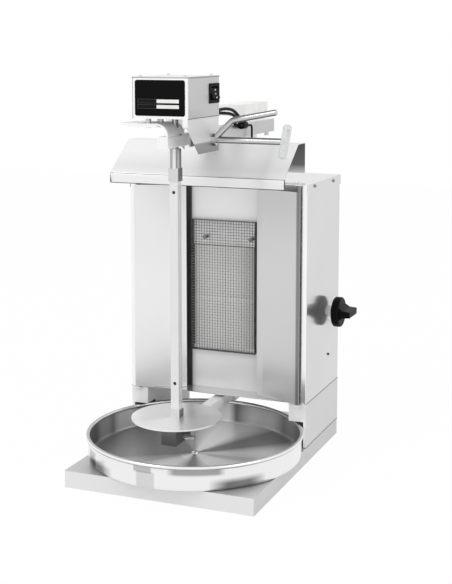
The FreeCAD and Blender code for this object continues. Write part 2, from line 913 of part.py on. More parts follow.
def guard(half_window, bolt_spots):
    """The wire guard before the burner: one holed face in a shallow rim."""
    face = panel_y - s.guard_depth
    low = casing_low + s.guard_low
    high = casing_low + s.guard_high
    pitch = s.guard_hole.number + s.guard_bar.number
    border = s.guard_border.number
    half = half_window.number
    columns = int(2 * (half - border) // pitch)
    rows = int((high.number - low.number - 2 * border) // pitch)
    middle = (high.number + low.number) / 2
    depth = face.number
    outline = Part.makePolygon([Vector(x, depth, z) for x, z in (
        (-half, low.number), (half, low.number), (half, high.number), (-half, high.number),
        (-half, low.number))])
    holes = []
    for column in range(columns):
        for row in range(rows):
            x = (column - (columns - 1) / 2) * pitch
            centre = Vector(x, depth, middle + (row - (rows - 1) / 2) * pitch)
            hole = Part.Circle(centre, Vector(0, 1, 0), s.guard_hole.number / 2)
            holes.append(Part.Wire([hole.toShape()]))
    net = doc.addObject("Part::Feature", "Net")
    net.Shape = Part.Face([outline] + holes).extrude(Vector(0, s.guard_sheet.number, 0))
    rim = extruded("XZ", (face, panel_y - s.fit),
                   rectangle((-half_window, half_window), (low, high)),
                   rectangle((-half_window + s.guard_sheet, half_window - s.guard_sheet),
                             (low + s.guard_sheet, high - s.guard_sheet)))
    room = [rod("y", spot, (face - 1, panel_y), s.screw_head_radius + s.body_gap) for spot in bolt_spots]
    node("burner_guard", cut(join(net, rim), *room))
    bolts = []
    for spot in bolt_spots:
        shank = rod("y", spot, (face, panel_y + s.screw_length), s.screw_radius)
        head = rod("y", spot, (face - s.screw_head_height, panel_y), s.screw_head_radius)
        bolts.append(join(shank, head))
    node("guard_bolts", group(*bolts))


def gas_train():
    half = s.valve_size / 2
    panel = inside - s.fit
    at = (valve_y, valve_z)
    body = box((gas_x - half, panel), (valve_y - half, valve_y + half),
               (valve_z - half, valve_z + half))
    neck = rod("x", at, (panel - 1, side + s.valve_neck_reach), s.valve_neck_radius)
    bore = rod("x", at, (panel - s.spindle_depth - s.knob_push - s.body_gap, side + s.valve_neck_reach + 1),
               s.spindle_radius + s.bearing_fit)
    node("gas_valve", cut(join(body, neck), bore))

    nut = hexagon("x", at, (side, side + s.valve_nut_depth), s.valve_nut_width)
    node("valve_nut", cut(nut, rod("x", at, (side - 1, side + s.valve_nut_depth + 1),
                                   s.valve_neck_radius + s.bearing_fit)))

    knob_low = side + s.knob_gap
    tip = knob_low + s.knob_socket
    node("valve_spindle", rod("x", at, (panel - s.spindle_depth, tip), s.spindle_radius))

    rear_inner = rear - 2 * s.skin
    nut_low = rear_inner - s.inlet_nut_depth
    supply_at = (gas_x, valve_z)
    union = join(hexagon("y", supply_at, (nut_low, rear_inner), s.inlet_nut_width),
                 rod("y", supply_at, (valve_y + half, nut_low + 1), s.supply_radius),
                 rod("y", supply_at, (nut_low, rear + s.inlet_reach), s.inlet_radius))
    passage = rod("y", supply_at, (valve_y + half - 1, rear + s.inlet_reach + 1),
                  s.supply_radius - s.skin)
    node("gas_inlet", cut(union, passage))

    disc = turned("x", at, knob_low, [
        (0, 0), (s.knob_radius - s.knob_chamfer, 0), (s.knob_radius, s.knob_chamfer),
        (s.knob_radius, s.knob_base, s.knob_edge), (0, s.knob_base)])
    grip_low = knob_low + s.knob_base
    grip_high = grip_low + s.knob_grip_reach
    waist = grip_low + s.knob_waist_reach
    z = valve_z
    blade = extruded("XZ", (valve_y - s.knob_grip_length / 2, valve_y + s.knob_grip_length / 2), [
        (grip_low - 1, z - s.knob_grip_root), (grip_low, z - s.knob_grip_root),
        (waist, z - s.knob_grip_waist), (grip_high, z - s.knob_grip_tip),
        (grip_high, z + s.knob_grip_tip), (waist, z + s.knob_grip_waist),
        (grip_low, z + s.knob_grip_root), (grip_low - 1, z + s.knob_grip_root)])
    round_room = rod("x", at, (knob_low, grip_high + 1), s.knob_radius - s.knob_edge)
    socket = rod("x", at, (knob_low - 1, tip), s.spindle_radius)
    node("gas_knob", cut(join(disc, overlap(blade, round_room)), socket))


def wings():
    outer = side - s.wing_inset
    run_x = (outer - s.wing_inner).number
    run_y = (s.wing_outer_forward + s.wing_inner_back).number
    slope = math.atan2(run_y, run_x)
    pin_x = outer - s.knuckle_radius * (math.cos(slope) - math.sin(slope))
    pin_y = casing_front - s.wing_outer_forward + s.knuckle_radius * (math.cos(slope) + math.sin(slope))
    low = casing_low + s.wing_rise
    high = roof - s.wing_drop
    lug_low = casing_low
    lug_high = roof - s.skin
    pins = []
    lugs = []
    for name, sign in SIDES.items():
        line = [(outer, casing_front - s.wing_outer_forward),
                (s.wing_inner, casing_front + s.wing_inner_back, s.fold_radius),
                (s.wing_return, casing_front + s.wing_return_back)]
        leaf = bent("XY", (low, high), mirror_x(sign, line), sign * s.wing_sheet)
        centre = (sign * pin_x, pin_y)
        barrel = rod("z", centre, (lug_low + s.body_gap, lug_high - s.body_gap), s.knuckle_radius)
        bore = rod("z", centre, (lug_low, lug_high), s.pin_radius + s.bearing_fit)
        node(f"{name}_wing", cut(join(leaf, barrel), bore))
        pins.append(rod("z", centre, (lug_low - s.lug_sheet, lug_high + s.pin_top), s.pin_radius))
        reach = (pin_x - s.lug_width / 2, pin_x + s.lug_width / 2)
        for base_z in (lug_low - s.lug_sheet, lug_high):
            plate = box(across(sign, *reach), (pin_y - s.knuckle_radius, casing_front),
                        (base_z, base_z + s.lug_sheet))
            hole = rod("z", centre, (base_z - 1, base_z + s.lug_sheet + 1), s.pin_radius)
            lugs.append(cut(plate, hole))
    node("hinge_pins", group(*pins))
    node("hinge_lugs", group(*lugs))


def square_tube(span, centre, outer, wall, radius):
    x, z = centre
    half = outer / 2
    hole = half - wall
    return extruded("XZ", span, rectangle((x - half, x + half), (z - half, z + half), radius),
                    rectangle((x - hole, x + hole), (z - hole, z + hole)))


def guides():
    outer = s.arm_width + 2 * s.slide_fit + 2 * s.guide_wall
    half = outer / 2
    bore = half - s.guide_wall
    start = front + s.guide_front
    end = front + s.arm_front + s.arm_length + s.guide_spare
    z = arm_z
    sleeve = square_tube((start, end), (0, z), outer, s.guide_wall, s.arm_corner)
    tongue = box((bore, half), (start - s.tongue_length, start + 1), (z - half, z + s.tongue_top))
    stop_y = end - s.stop_bolt_inset
    stop_room = rod("z", (0, stop_y), (z - half - 1, z - bore + 1), s.stop_bolt_radius)
    node("guide_sleeve", cut(join(sleeve, tongue), stop_room))

    plug = bore - s.fit
    cap = join(box((-half, half), (end, end + s.end_cap), (z - half, z + half)),
               box((-plug, plug), (end - s.end_cap, end + 1), (z - plug, z + plug)))
    node("guide_end_cap", cap)
    stop_head = z - half - s.stop_bolt_head
    node("stop_bolt", join(
        hexagon("z", (0, stop_y), (stop_head, z - half), s.stop_bolt_width),
        rod("z", (0, stop_y), (stop_head, z - bore + 2), s.stop_bolt_radius)))

    post = s.post_width / 2
    hole = post - s.post_wall
    post_y = panel_y + s.post_back
    node("guide_post", extruded("XY", (roof, z - half),
                                rectangle((-post, post), (post_y - post, post_y + post)),
                                rectangle((-hole, hole), (post_y - hole, post_y + hole))))

    lower = lower_z
    lower_start = s.lower_guide_back
    lower_span = (lower_start, lower_start + s.lower_guide_length)
    plate = s.lower_guide_plate / 2
    hanger = box((-plate, plate), lower_span, (lower + half, casing_low))
    node("lower_guide", join(square_tube(lower_span, (0, lower), outer, s.guide_wall, None), hanger))


def upper_arm():
    start = front + s.arm_front
    end = start + s.arm_length
    half = s.arm_width / 2
    z = arm_z
    tube = square_tube((start, end), (0, z), s.arm_width, s.arm_wall, s.arm_corner)
    inner = half - s.arm_wall
    nose = box((-inner - 1, inner + 1), (start + s.fit, start + s.arm_wall), (z - inner - 1, z + inner + 1))
    bush_hole = s.shaft_radius + s.bush_wall
    hole = rod("z", (0, spit_y), (z - half - 1, z + half + 1), bush_hole)
    node("upper_arm", cut(join(tube, nose), hole))

    flange = s.shaft_radius + s.bush_flange_wall
    sleeve = join(rod("z", (0, spit_y), (z - half, z + half), bush_hole),
                  rod("z", (0, spit_y), (z + half, z + half + s.bush_flange), flange))
    node("upper_bush", cut(sleeve, rod("z", (0, spit_y), (z - half - 1, z + half + s.bush_flange + 1),
                                       s.shaft_radius + s.bearing_fit)))


def console():
    start = front + s.arm_front
    end = start + s.shelf_depth
    half = s.arm_width / 2
    top = shelf_top
    line = [(-s.shelf_left, top), (half, top, s.arch_radius), (half, arm_top)]
    plate = bent("XZ", (start, end), line, -s.shelf_sheet)
    lip = extruded("XZ", (start, start + s.shelf_sheet),
                   [(-s.shelf_left, top), (half - s.arch_radius, top),
                    (half - s.arch_radius, top - s.shelf_lip),
                    (-s.shelf_left + s.shelf_bevel, top - s.shelf_lip)])
    spacers = spacer_spots()
    holes = [rod("z", spot, (top - s.shelf_sheet - 1, top + 1), s.spacer_radius + s.fit / 2)
             for spot in spacers]
    shaft_room = rod("z", (0, spit_y), (arm_top - 1, top + 1), s.shaft_radius + s.arm_wall)
    flange_room = rod("z", (0, spit_y), (arm_top - 1, arm_top + s.bush_flange + s.fit),
                      s.shaft_radius + s.bush_flange_wall + s.fit)
    node("console_shelf", cut(join(plate, lip), shaft_room, flange_room, *holes))

    bolts = []
    floor = motor_low
    for spot in spacers:
        under = top - s.shelf_sheet
        stack = [rod("z", spot, (under - s.spacer_nut, floor + s.spacer_nut), s.spacer_radius),
                 hexagon("z", spot, (under - s.spacer_nut, under), 2 * s.spacer_nut),
                 rod("z", spot, (top, floor), s.spacer_nut),
                 hexagon("z", spot, (floor + s.lid_sheet, floor + s.spacer_nut), 2 * s.spacer_nut)]
        bolts.append(join(*stack))
    node("spacer_bolts", group(*bolts))


def spacer_spots():
    """Three bolts that carry the motor box on the shelf."""
    left = -s.motor_box_width / 2 + s.spacer_inset_left
    ahead = front + s.motor_box_front + s.spacer_inset_front
    behind = front + s.motor_box_front + s.spacer_inset_back
    return [(left, ahead), (-s.spacer_inset_right, (ahead + behind) / 2), (left, behind)]


def motor():
    half = s.motor_box_width / 2
    start = front + s.motor_box_front
    end = start + s.motor_box_depth
    low = motor_low
    high = motor_high
    wall = s.skin
    shell = extruded("XY", (low, high), rectangle((-half, half), (start, end), s.fold_radius))
    hollow = box((-half + wall, half - wall), (start + wall, end - wall), (low + s.lid_sheet, high + 1))
    shaft_room = rod("z", (0, spit_y), (low - 1, low + s.lid_sheet + 1), s.shaft_radius + s.arm_wall)
    spacers = [rod("z", spot, (low - 1, low + s.lid_sheet + 1), s.spacer_radius + s.fit / 2)
                for spot in spacer_spots()]
    switch_y, switch_z = switch_spans(s.bezel_border - s.switch_wall - s.fit)
    window = box((half - wall - 1, half + 1), switch_y, switch_z)
    exits = [rod("y", spot, (end - wall - 1, end + 1), s.cable_radius + s.fit) for spot in cable_exits()]
    node("motor_box", cut(shell, hollow, shaft_room, window, *spacers, *exits))

    over = s.lid_overhang
    lid = extruded("XY", (high, high + s.lid_sheet),
                   rectangle((-half - over, half + over), (start - over, end + over), s.fold_radius))
    inset = s.screw_inset
    spots = [(-half + inset, start + inset), (half - inset, start + inset),
             (-half + inset, end - inset), (half - inset, end - inset)]
    lid_top = high + s.lid_sheet
    holes = [rod("z", spot, (high - 1, lid_top + 1), s.screw_radius + s.fit / 2) for spot in spots]
    node("motor_lid", cut(lid, *holes))
    screws = [join(rod("z", spot, (lid_top - s.screw_length, lid_top), s.screw_radius),
                   cone("z", spot, (lid_top, lid_top + s.screw_head_height),
                        s.screw_head_radius, s.screw_head_crown)) for spot in spots]
    node("lid_screws", group(*screws))

    label = s.label_width / 2
    label_span = (low + s.label_inset_low, high - s.label_inset_high)
    node("front_label", extruded("XZ", (start - s.label_sheet, start),
                                 rectangle((-label, label), label_span, s.label_corner)))

    gear_half = s.gearbox_width / 2
    gear_y = (spit_y - s.gearbox_depth / 2 + s.motor_offset, spit_y + s.gearbox_depth / 2 + s.motor_offset)
    gear_low = low + s.spacer_nut + 1
    gear_top = gear_low + s.gearbox_height
    gear_left = s.gearbox_shift - gear_half
    gear_right = s.gearbox_shift + gear_half
    gears = box((gear_left, gear_right), gear_y, (gear_low, gear_top))
    feet = [box((gear_left, gear_left + s.gearbox_foot), gear_y, (low + s.lid_sheet, gear_low)),
            box((gear_right - s.gearbox_foot, gear_right), gear_y, (low + s.lid_sheet, gear_low))]
    can = rod("z", (s.gearbox_shift, spit_y + 2 * s.motor_offset), (gear_top, gear_top + s.motor_height),
              s.motor_radius)
    bore = rod("z", (0, spit_y), (gear_low - 1, low + s.shaft_reach + 1), s.shaft_radius + s.bearing_fit)
    nut_room = [rod("z", spot, (low, gear_low + 1), s.spacer_nut + s.spacer_room)
                for spot in spacer_spots()]
    node("gear_motor", cut(join(gears, can, *feet), bore, *nut_room))

    outside = bracket_face
    foot = arm_z - s.bracket_drop
    lip_low = low - s.bracket_lip_drop
    cheek = extruded("YZ", (outside - s.bracket_sheet, outside), [
        (start, low), (start, lip_low), (start + s.bracket_slope, foot), (end, foot), (end, low)])
    lip = box((outside - s.bracket_lip, outside), (start, start + s.bracket_sheet), (lip_low, low))
    room = s.arm_width / 2 + s.slide_fit + s.guide_wall + s.bracket_room
    back = extruded("XZ", (end - s.bracket_sheet, end), [
        (-half, low), (-half, low - s.bracket_left_drop), (-room, foot), (-room, arm_z + room),
        (room, arm_z + room), (room, foot), (outside, foot), (outside, low)])
    nut = hexagon("x", (clamp_y, arm_z),
                  (outside - s.bracket_sheet - s.clamp_nut_length, outside - s.bracket_sheet + 1),
                  s.clamp_head_width)
    screw_room = rod("x", (clamp_y, arm_z), (outside - s.bracket_sheet - s.clamp_nut_length - 1, outside + 1),
                     s.clamp_radius + s.bearing_fit)
    node("rear_bracket", cut(join(cheek, lip, back, nut), screw_room))


def cable_exits():
    """Where the two cables leave the back of the motor box."""
    x = s.motor_box_width / 2 - s.exit_inset
    z = motor_low
    return [(x, z + s.exit_rise), (x - s.exit_spacing, z + s.exit_rise - s.exit_drop)]


def switch_spans(inset):
    y = front + s.switch_front
    z = motor_low + s.switch_rise
    return ((y + inset, y + s.switch_width - inset), (z + inset, z + s.switch_height - inset))


def switch():
    wall_face = s.motor_box_width / 2
    y, z = switch_spans(0)
    hole_y, hole_z = switch_spans(s.bezel_border)
    case_y, case_z = switch_spans(s.bezel_border - s.switch_wall)
    face = wall_face + s.bezel_sheet
    frame = extruded("YZ", (wall_face, face), rectangle(y, z, s.fold_radius))
    case = box((wall_face - s.switch_depth, wall_face + 1), case_y, case_z)
    room = box((wall_face - s.switch_depth + s.switch_wall, face + 1), hole_y, hole_z)
    middle_z = (hole_z[0] + hole_z[1]) / 2
    pivot_x = wall_face - s.rocker_reach
    pivot_room = rod("y", (pivot_x, middle_z), (case_y[0] - 1, case_y[1] + 1),
                     s.trunnion_radius + s.bearing_fit)
    node("switch_bezel", cut(join(frame, case), room, pivot_room))

    half_z = (hole_z[1] - hole_z[0]) / 2 - s.rocker_gap
    heel = pivot_x - s.rocker_reach
    body = extruded("XZ", (hole_y[0] + s.body_gap, hole_y[1] - s.body_gap), [
        (heel, middle_z - s.rocker_heel), (face - s.rocker_gap, middle_z - half_z),
        (face + s.rocker_reach, middle_z - half_z + s.rocker_slope), (face + s.rocker_gap, middle_z),
        (face - s.switch_wall, middle_z + half_z - s.rocker_slope), (heel, middle_z + s.rocker_heel)])
    trunnion = rod("y", (pivot_x, middle_z), (hole_y[0] - s.switch_wall, hole_y[1] + s.switch_wall),
                   s.trunnion_radius)
    node("switch_rocker", join(body, trunnion))


def spit():
    at = (0, spit_y)
    half = s.socket_side / 2
    low = socket_low
    high = low + s.socket_height
    guide_low = arm_z - s.arm_width / 2 - s.slide_fit - s.guide_wall
    bore = s.spit_side / 2 + s.spit_fit
    pocket = box((-bore, bore), (spit_y - bore, spit_y + bore), (low - 1, high - s.socket_web))
    block = box((-half, half), (spit_y - half, spit_y + half), (low, high))
    hub = rod("z", at, (high - 1, guide_low - s.body_gap), s.hub_radius)
    shaft = rod("z", at, (high - 1, motor_low + s.shaft_reach), s.shaft_radius)
    node("drive_shaft", cut(join(block, hub, shaft), pocket))

    tube_half = s.spit_side / 2
    hole = tube_half - s.spit_wall
    tube_low = disc_top + s.arm_wall
    tube_high = high - s.socket_web - s.body_gap
    tube = extruded("XY", (tube_low, tube_high),
                    rectangle((-tube_half, tube_half), (spit_y - tube_half, spit_y + tube_half)),
                    rectangle((-hole, hole), (spit_y - hole, spit_y + hole)))
    holes = [rod("y", (0, level), (spit_y - tube_half - 1, spit_y + tube_half + 1), s.spit_hole_radius)
             for level in (disc_top + s.spit_hole_rise, socket_low - s.spit_hole_drop)]
    node("spit_tube", cut(tube, *holes))

    disc_low = disc_top - s.disc_thickness
    pin_low = block_high - s.spit_pin_depth
    collar_high = disc_top + s.collar_rise
    socket = join(box((-half, half), (spit_y - half, spit_y + half), (disc_top, collar_high)),
                  rod("z", at, (pin_low, disc_top + 1), s.spit_pin_radius))
    recess = box((-bore, bore), (spit_y - bore, spit_y + bore), (tube_low - s.fit, collar_high + 1))
    node("spit_foot", cut(socket, recess))

    hub_low = block_high + s.body_gap
    disc = join(rod("z", at, (disc_low, disc_top), s.disc_radius),
                rod("z", at, (hub_low, disc_low + 1), s.disc_hub_radius))
    node("meat_disc", cut(disc, rod("z", at, (hub_low - 1, disc_top + 1),
                                    s.spit_pin_radius + s.bearing_fit)))


def lower_carriage():
    half = s.block_width / 2
    start = front + s.block_front
    end = start + s.block_length
    at = (0, spit_y)
    pin_low = block_high - s.spit_pin_depth
    bush_radius = s.spit_pin_radius + s.bush_wall
    seat_low = pin_low - s.bush_flange
    side_at = (spit_y, lower_z - s.block_bolt_drop)
    block = extruded("XZ", (start, end),
                     rectangle((-half, half), (block_low, block_high), s.arm_corner))
    node("bearing_block", cut(
        block, rod("z", at, (seat_low, block_high + 1), bush_radius),
        rod("x", side_at, (half - s.block_bolt_grip, half + 1), s.block_bolt_radius)))
    node("lower_bush", cut(rod("z", at, (seat_low, block_high), bush_radius),
                           rod("z", at, (pin_low - s.body_gap, block_high + 1),
                               s.spit_pin_radius + s.bearing_fit)))
    node("block_bolt", rod("x", side_at, (half - s.block_bolt_grip, half + s.block_bolt_reach),
                           s.block_bolt_radius))
    node("lower_arm", square_tube((end, end + s.lower_arm_length), (0, lower_z),
                                  s.arm_width, s.arm_wall, s.arm_corner))


def clamp():
    z = arm_z
    at = (clamp_y, z)
    tip = s.arm_width / 2 + s.slide_fit + s.guide_wall + s.clamp_gap
    head = (bracket_face + s.body_gap, bracket_face + s.clamp_head_length)
    screw = join(rod("x", at, (tip, head[0] + 1), s.clamp_radius),
                 hexagon("x", at, head, s.clamp_head_width),
                 rod("x", at, (head[1] - 1, s.rod_end), s.rod_radius))
    route = [(s.lever_root, clamp_y, z + s.lever_root_rise), (s.lever_bend, clamp_y, z + s.lever_bend_rise),
             (s.lever_tip, clamp_y, z + s.lever_tip_rise)]
    bar = pipe("clamp_lever", route, s.lever_radius, [s.lever_bend_radius.number])
    node("clamp_screw", join(screw, bar))

    half = s.grip_length / 2
    radius = s.grip_radius
    grip = turned("z", (0, 0), 0, [(0, -half), (radius, -half, s.grip_rounding),
                                   (radius, half, s.grip_rounding), (0, half)])
    grip.Placement = FreeCAD.Placement(Vector(), Rotation(Vector(0, 1, 0), -s.grip_lean.number))
    bind(grip, "Placement.Base.x", s.grip_centre)
    bind(grip, "Placement.Base.y", clamp_y)
    bind(grip, "Placement.Base.z", z)
    bind(grip, "Placement.Rotation.Angle", s.grip_lean)
    node("clamp_grip", cut(grip, rod("x", at, (0, s.rod_end), s.rod_radius)))


def drip_pan():
    floor = s.base_height + s.body_gap
    radius = s.pan_wall_radius
    rim = s.pan_rim_height - s.body_gap
    dish_edge = s.pan_dish_radius + s.pan_dish_slope
    section = [(0, s.pan_dish), (s.pan_dish_radius, s.pan_dish), (dish_edge, 0),
               (radius, 0, s.pan_corner), (radius, rim), (radius - s.pan_sheet, rim),
               (radius - s.pan_sheet, s.pan_sheet, s.pan_corner - s.pan_sheet),
               (dish_edge, s.pan_sheet), (s.pan_dish_radius, s.pan_dish + s.pan_sheet),
               (0, s.pan_dish + s.pan_sheet)]
    wall = turned("z", (0, pan_y), floor, section)
    bead = torus((0, pan_y), floor + rim, radius + s.pan_bead_shift, s.pan_bead)
    node("drip_pan", join(wall, bead))


def wiring():
    half = s.arm_width / 2 + s.slide_fit + s.guide_wall
    guide_top = arm_z + half
    low = guide_top + s.box_rise
    span = (front + s.box_front, front + s.box_front + s.box_length)
    width = s.box_half_width
    wall = s.box_wall
    outer = extruded("XZ", span, rectangle((-width, width), (low, low + s.box_height), s.fold_radius))
    inner = box((-width + wall, width - wall), (span[0] + wall, span[1] - wall),
                (low + wall, low + s.box_height - wall))
    bridge = s.bridge_half_width
    bridge_span = (front + s.bridge_front, front + s.bridge_front + s.bridge_length)
    foot = box((-bridge, bridge), bridge_span, (guide_top, low + 1))
    node("terminal_box", join(cut(outer, inner), foot))

    gland_y = front + s.gland_setback
    gland_x = s.lead_side
    gland_span = (gland_y - s.gland_length / 2, gland_y + s.gland_length / 2)
    height = arm_z + s.gland_rise
    saddle = box((half, gland_x), gland_span, (height - s.gland_saddle, guide_top))
    barrel = rod("y", (gland_x, height), gland_span, s.gland_radius)
    plugs = {"outer": gland_x + s.gland_spread, "inner": gland_x - s.gland_spread}
    cable_rooms = [rod("y", (x, height), (gland_span[0] - 1, gland_y), s.cable_radius)
                   for x in plugs.values()]
    lead_room = rod("y", (gland_x, height), (gland_y, gland_span[1] + 1), s.lead_radius)
    node("cable_gland", cut(join(barrel, saddle), lead_room, *cable_rooms))

    lead_x = s.lead_side
    drop_y = front + s.lead_drop
    lead_z = arm_z + s.lead_rise
    lead = [(lead_x, gland_span[1], height), (lead_x, gland_span[1] + s.lead_step, height),
            (lead_x, gland_span[1] + 2 * s.lead_step, lead_z), (lead_x, drop_y, lead_z),
            (lead_x, drop_y, roof - s.skin - s.lead_inside)]
    bends = cable_bends(lead[:4])
    node("sensor_lead", pipe("sensor_lead", lead, s.lead_radius, bends + [s.lead_bend.number]))

    box_back = front + s.motor_box_front + s.motor_box_depth
    cables = []
    for (name, plug), (x, z) in zip(plugs.items(), cable_exits()):
        arch = [(x, box_back, z)]
        for i in range(1, 6):
            arch.append((x - getattr(s, f"{name}_in_{i}"), box_back + i * s.arch_step,
                         z + getattr(s, f"{name}_up_{i}")))
        arch.append((x - getattr(s, f"{name}_fall_in"), box_back + getattr(s, f"{name}_fall"),
                     height + getattr(s, f"{name}_fall_rise")))
        arch.append((plug, box_back + getattr(s, f"{name}_turn"), height))
        arch.append((plug, gland_span[0], height))
        cables.append(pipe(f"{name}_cable", arch, s.cable_radius, cable_bends(arch)))
    node("motor_cable", group(*cables))


for make in (base, legs, casing, hood, burner, gas_train, wings, guides, upper_arm, console, motor,
             switch, spit, lower_carriage, clamp, drip_pan, wiring):
    make()
doc.recompute()


def check_document():
    """Stops on any object that failed, and on any sub-part that isn't a sound solid."""
    for item in doc.Objects:
        if "Invalid" in item.State or "Error" in item.State:
            raise RuntimeError(f"{item.Name} ({item.Label}) failed: {item.State}")
    names = [item.Label for item in nodes]
    if len(set(names)) != len(names):
        raise RuntimeError("two sub-parts share a name")
    for item in nodes:
        shape = item.Shape
        if shape.isNull() or not shape.isValid() or not shape.Solids:
            raise RuntimeError(f"{item.Label} is not a sound solid")


def write_parts():
    os.makedirs("parts", exist_ok=True)
    for item in nodes:
        item.Shape.exportStep(f"parts/{item.Label}.step")
    print(f"{len(nodes)} sub-parts written")


check_document()
write_parts()
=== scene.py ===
import math

import bmesh
import bpy
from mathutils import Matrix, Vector


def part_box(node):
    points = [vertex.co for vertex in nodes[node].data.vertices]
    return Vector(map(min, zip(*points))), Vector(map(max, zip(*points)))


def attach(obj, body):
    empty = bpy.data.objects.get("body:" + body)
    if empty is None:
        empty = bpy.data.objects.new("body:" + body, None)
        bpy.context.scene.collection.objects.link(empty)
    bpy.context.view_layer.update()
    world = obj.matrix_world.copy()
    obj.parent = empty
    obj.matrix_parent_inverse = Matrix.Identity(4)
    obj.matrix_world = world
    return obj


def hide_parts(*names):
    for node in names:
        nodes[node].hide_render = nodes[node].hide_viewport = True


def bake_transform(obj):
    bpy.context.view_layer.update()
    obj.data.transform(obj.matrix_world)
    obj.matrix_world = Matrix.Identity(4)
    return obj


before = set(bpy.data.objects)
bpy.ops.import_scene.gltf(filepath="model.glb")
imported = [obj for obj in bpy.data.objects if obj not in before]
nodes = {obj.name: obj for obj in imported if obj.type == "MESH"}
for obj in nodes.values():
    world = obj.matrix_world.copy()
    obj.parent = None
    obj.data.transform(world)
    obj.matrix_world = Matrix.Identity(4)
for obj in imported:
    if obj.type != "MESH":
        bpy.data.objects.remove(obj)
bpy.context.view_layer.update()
scene = bpy.context.scene

# X is to the cook's right, Y to the back, Z up. Lengths are in metres, and the lens in millimetres.
# The camera's angles are in radians, and the sectors of turned pieces in degrees.
CAMERA_PLACE = (1.11708, -2.64866, 1.01419)
CAMERA_YAW = 0.3850
CAMERA_PITCH = 0.1309
CAMERA_LENS = 73.94
CAMERA_SHIFT = -0.15
SPIT_AXIS = (0.0, -0.196)
PAN_CENTRE = (0.0, -0.090)
X, Y, Z = 0, 1, 2


def set_camera():
    """The camera stands where the photograph was taken from."""
    data = bpy.data.cameras.new("camera")
    data.lens = CAMERA_LENS
    data.shift_y = CAMERA_SHIFT
    camera = bpy.data.objects.new("camera", data)
    scene.collection.objects.link(camera)
    camera.location = CAMERA_PLACE
    level = math.cos(CAMERA_PITCH)
    forward = Vector((-math.sin(CAMERA_YAW) * level, math.cos(CAMERA_YAW) * level, -math.sin(CAMERA_PITCH)))
    camera.rotation_mode = "QUATERNION"
    camera.rotation_quaternion = forward.to_track_quat("-Z", "Y")
    scene.camera = camera


GRAIN_DEPTH = 0.0003


class Graph:
    """A material's node tree around its Principled shader."""

    def __init__(self, name):
        self.material = bpy.data.materials.new(name)
        self.material.use_nodes = True
        self.tree = self.material.node_tree
        self.shader = self.tree.nodes["Principled BSDF"]

    def put(self, socket, amount):
        """Links another socket to this one, or sets a plain amount on it."""
        if isinstance(amount, bpy.types.NodeSocket):
            self.tree.links.new(amount, socket)
        elif isinstance(amount, tuple) and len(amount) == 3 and socket.type == "RGBA":
            socket.default_value = (*amount, 1.0)
        else:
            socket.default_value = amount

    def add(self, kind, out=0, props=(), **inputs):
        """A node; inputs are named i0, i1 by number, or by their label with _ for a space."""
        node = self.tree.nodes.new(kind)
        for key, amount in props:
            setattr(node, key, amount)
        for key, amount in inputs.items():
            index = int(key[1:]) if key[1:].isdigit() else key.replace("_", " ")
            self.put(node.inputs[index], amount)
        return node.outputs[out]

    def math(self, operation, *amounts):
        inputs = {f"i{i}": amount for i, amount in enumerate(amounts)}
        return self.add("ShaderNodeMath", props=[("operation", operation)], **inputs)

    def times(self, first, second):
        return self.math("MULTIPLY", first, second)

    def plus(self, first, second):
        return self.math("ADD", first, second)

    def minus(self, first, second):
        return self.math("SUBTRACT", first, second)

    def place(self):
        """The spot on the piece, in metres."""
        return self.add("ShaderNodeTexCoord", out=3)

    def scaled(self, vector, scale):
        return self.add("ShaderNodeMapping", Vector=vector, Scale=scale)

    def noise(self, vector, scale, detail=3.0, roughness=0.5):
        return self.add("ShaderNodeTexNoise", props=[("noise_dimensions", "3D")], Vector=vector,
                        Scale=scale, Detail=detail, Roughness=roughness)

    def ramp(self, factor, low, high, start=0.3, end=0.7):
        """Maps a factor between two positions to a colour or grey between two others."""
        node = self.tree.nodes.new("ShaderNodeValToRGB")
        first, last = node.color_ramp.elements
        first.position, last.position = start, end
        first.color = (*low, 1.0) if isinstance(low, tuple) else (low, low, low, 1.0)
        last.color = (*high, 1.0) if isinstance(high, tuple) else (high, high, high, 1.0)
        self.put(node.inputs[0], factor)
        return node.outputs[0]

    def curve(self, coordinate, points):
        """A grey that follows points of (coordinate, grey) and keeps the end greys outside them."""
        start, end = points[0][0], points[-1][0]
        node = self.tree.nodes.new("ShaderNodeValToRGB")
        elements = node.color_ramp.elements
        for spot, grey in points[1:-1]:
            elements.new((spot - start) / (end - start)).color = (grey, grey, grey, 1.0)
        for element, grey in ((elements[0], points[0][1]), (elements[-1], points[-1][1])):
            element.color = (grey, grey, grey, 1.0)
        self.put(node.inputs[0], self.math("DIVIDE", self.minus(coordinate, start), end - start))
        return node.outputs[0]

    def split(self, vector):
        node = self.tree.nodes.new("ShaderNodeSeparateXYZ")
        self.put(node.inputs[0], vector)
        return node.outputs

    def normal(self):
        """The face's direction on its own piece, so that it turns with the piece."""
        return self.split(self.add("ShaderNodeTexCoord", out=1))

    def painted_facing_shade(self, front, side, top):
        """Painted light and shade: one grey for faces to the front or back, one for the sides, one for up and
        down.
        """
        total = 0.0
        for part, grey in zip(self.normal(), (side, front, top)):
            total = self.plus(total, self.times(self.times(part, part), grey))
        return total

    def multiply(self, first, second):
        return self.add("ShaderNodeMix", out=2, props=[("data_type", "RGBA"), ("blend_type", "MULTIPLY")],
                        i0=1.0, i6=first, i7=second)

    def mix(self, factor, first, second):
        return self.add("ShaderNodeMix", out=2, props=[("data_type", "RGBA")], i0=factor, i6=first, i7=second)

    def round_grain(self):
        """The direction of turning, about the upright axis."""
        return self.add("ShaderNodeTangent", props=[("direction_type", "RADIAL"), ("axis", "Z")])

    def bump(self, height, strength, distance=GRAIN_DEPTH):
        self.put(self.shader.inputs["Normal"],
                 self.add("ShaderNodeBump", Height=height, Strength=strength, Distance=distance))

    def finish(self, **inputs):
        """Sets the shader's own sockets, named as in add, and gives the material."""
        for key, amount in inputs.items():
            self.put(self.shader.inputs[key.replace("_", " ")], amount)
        return self.material


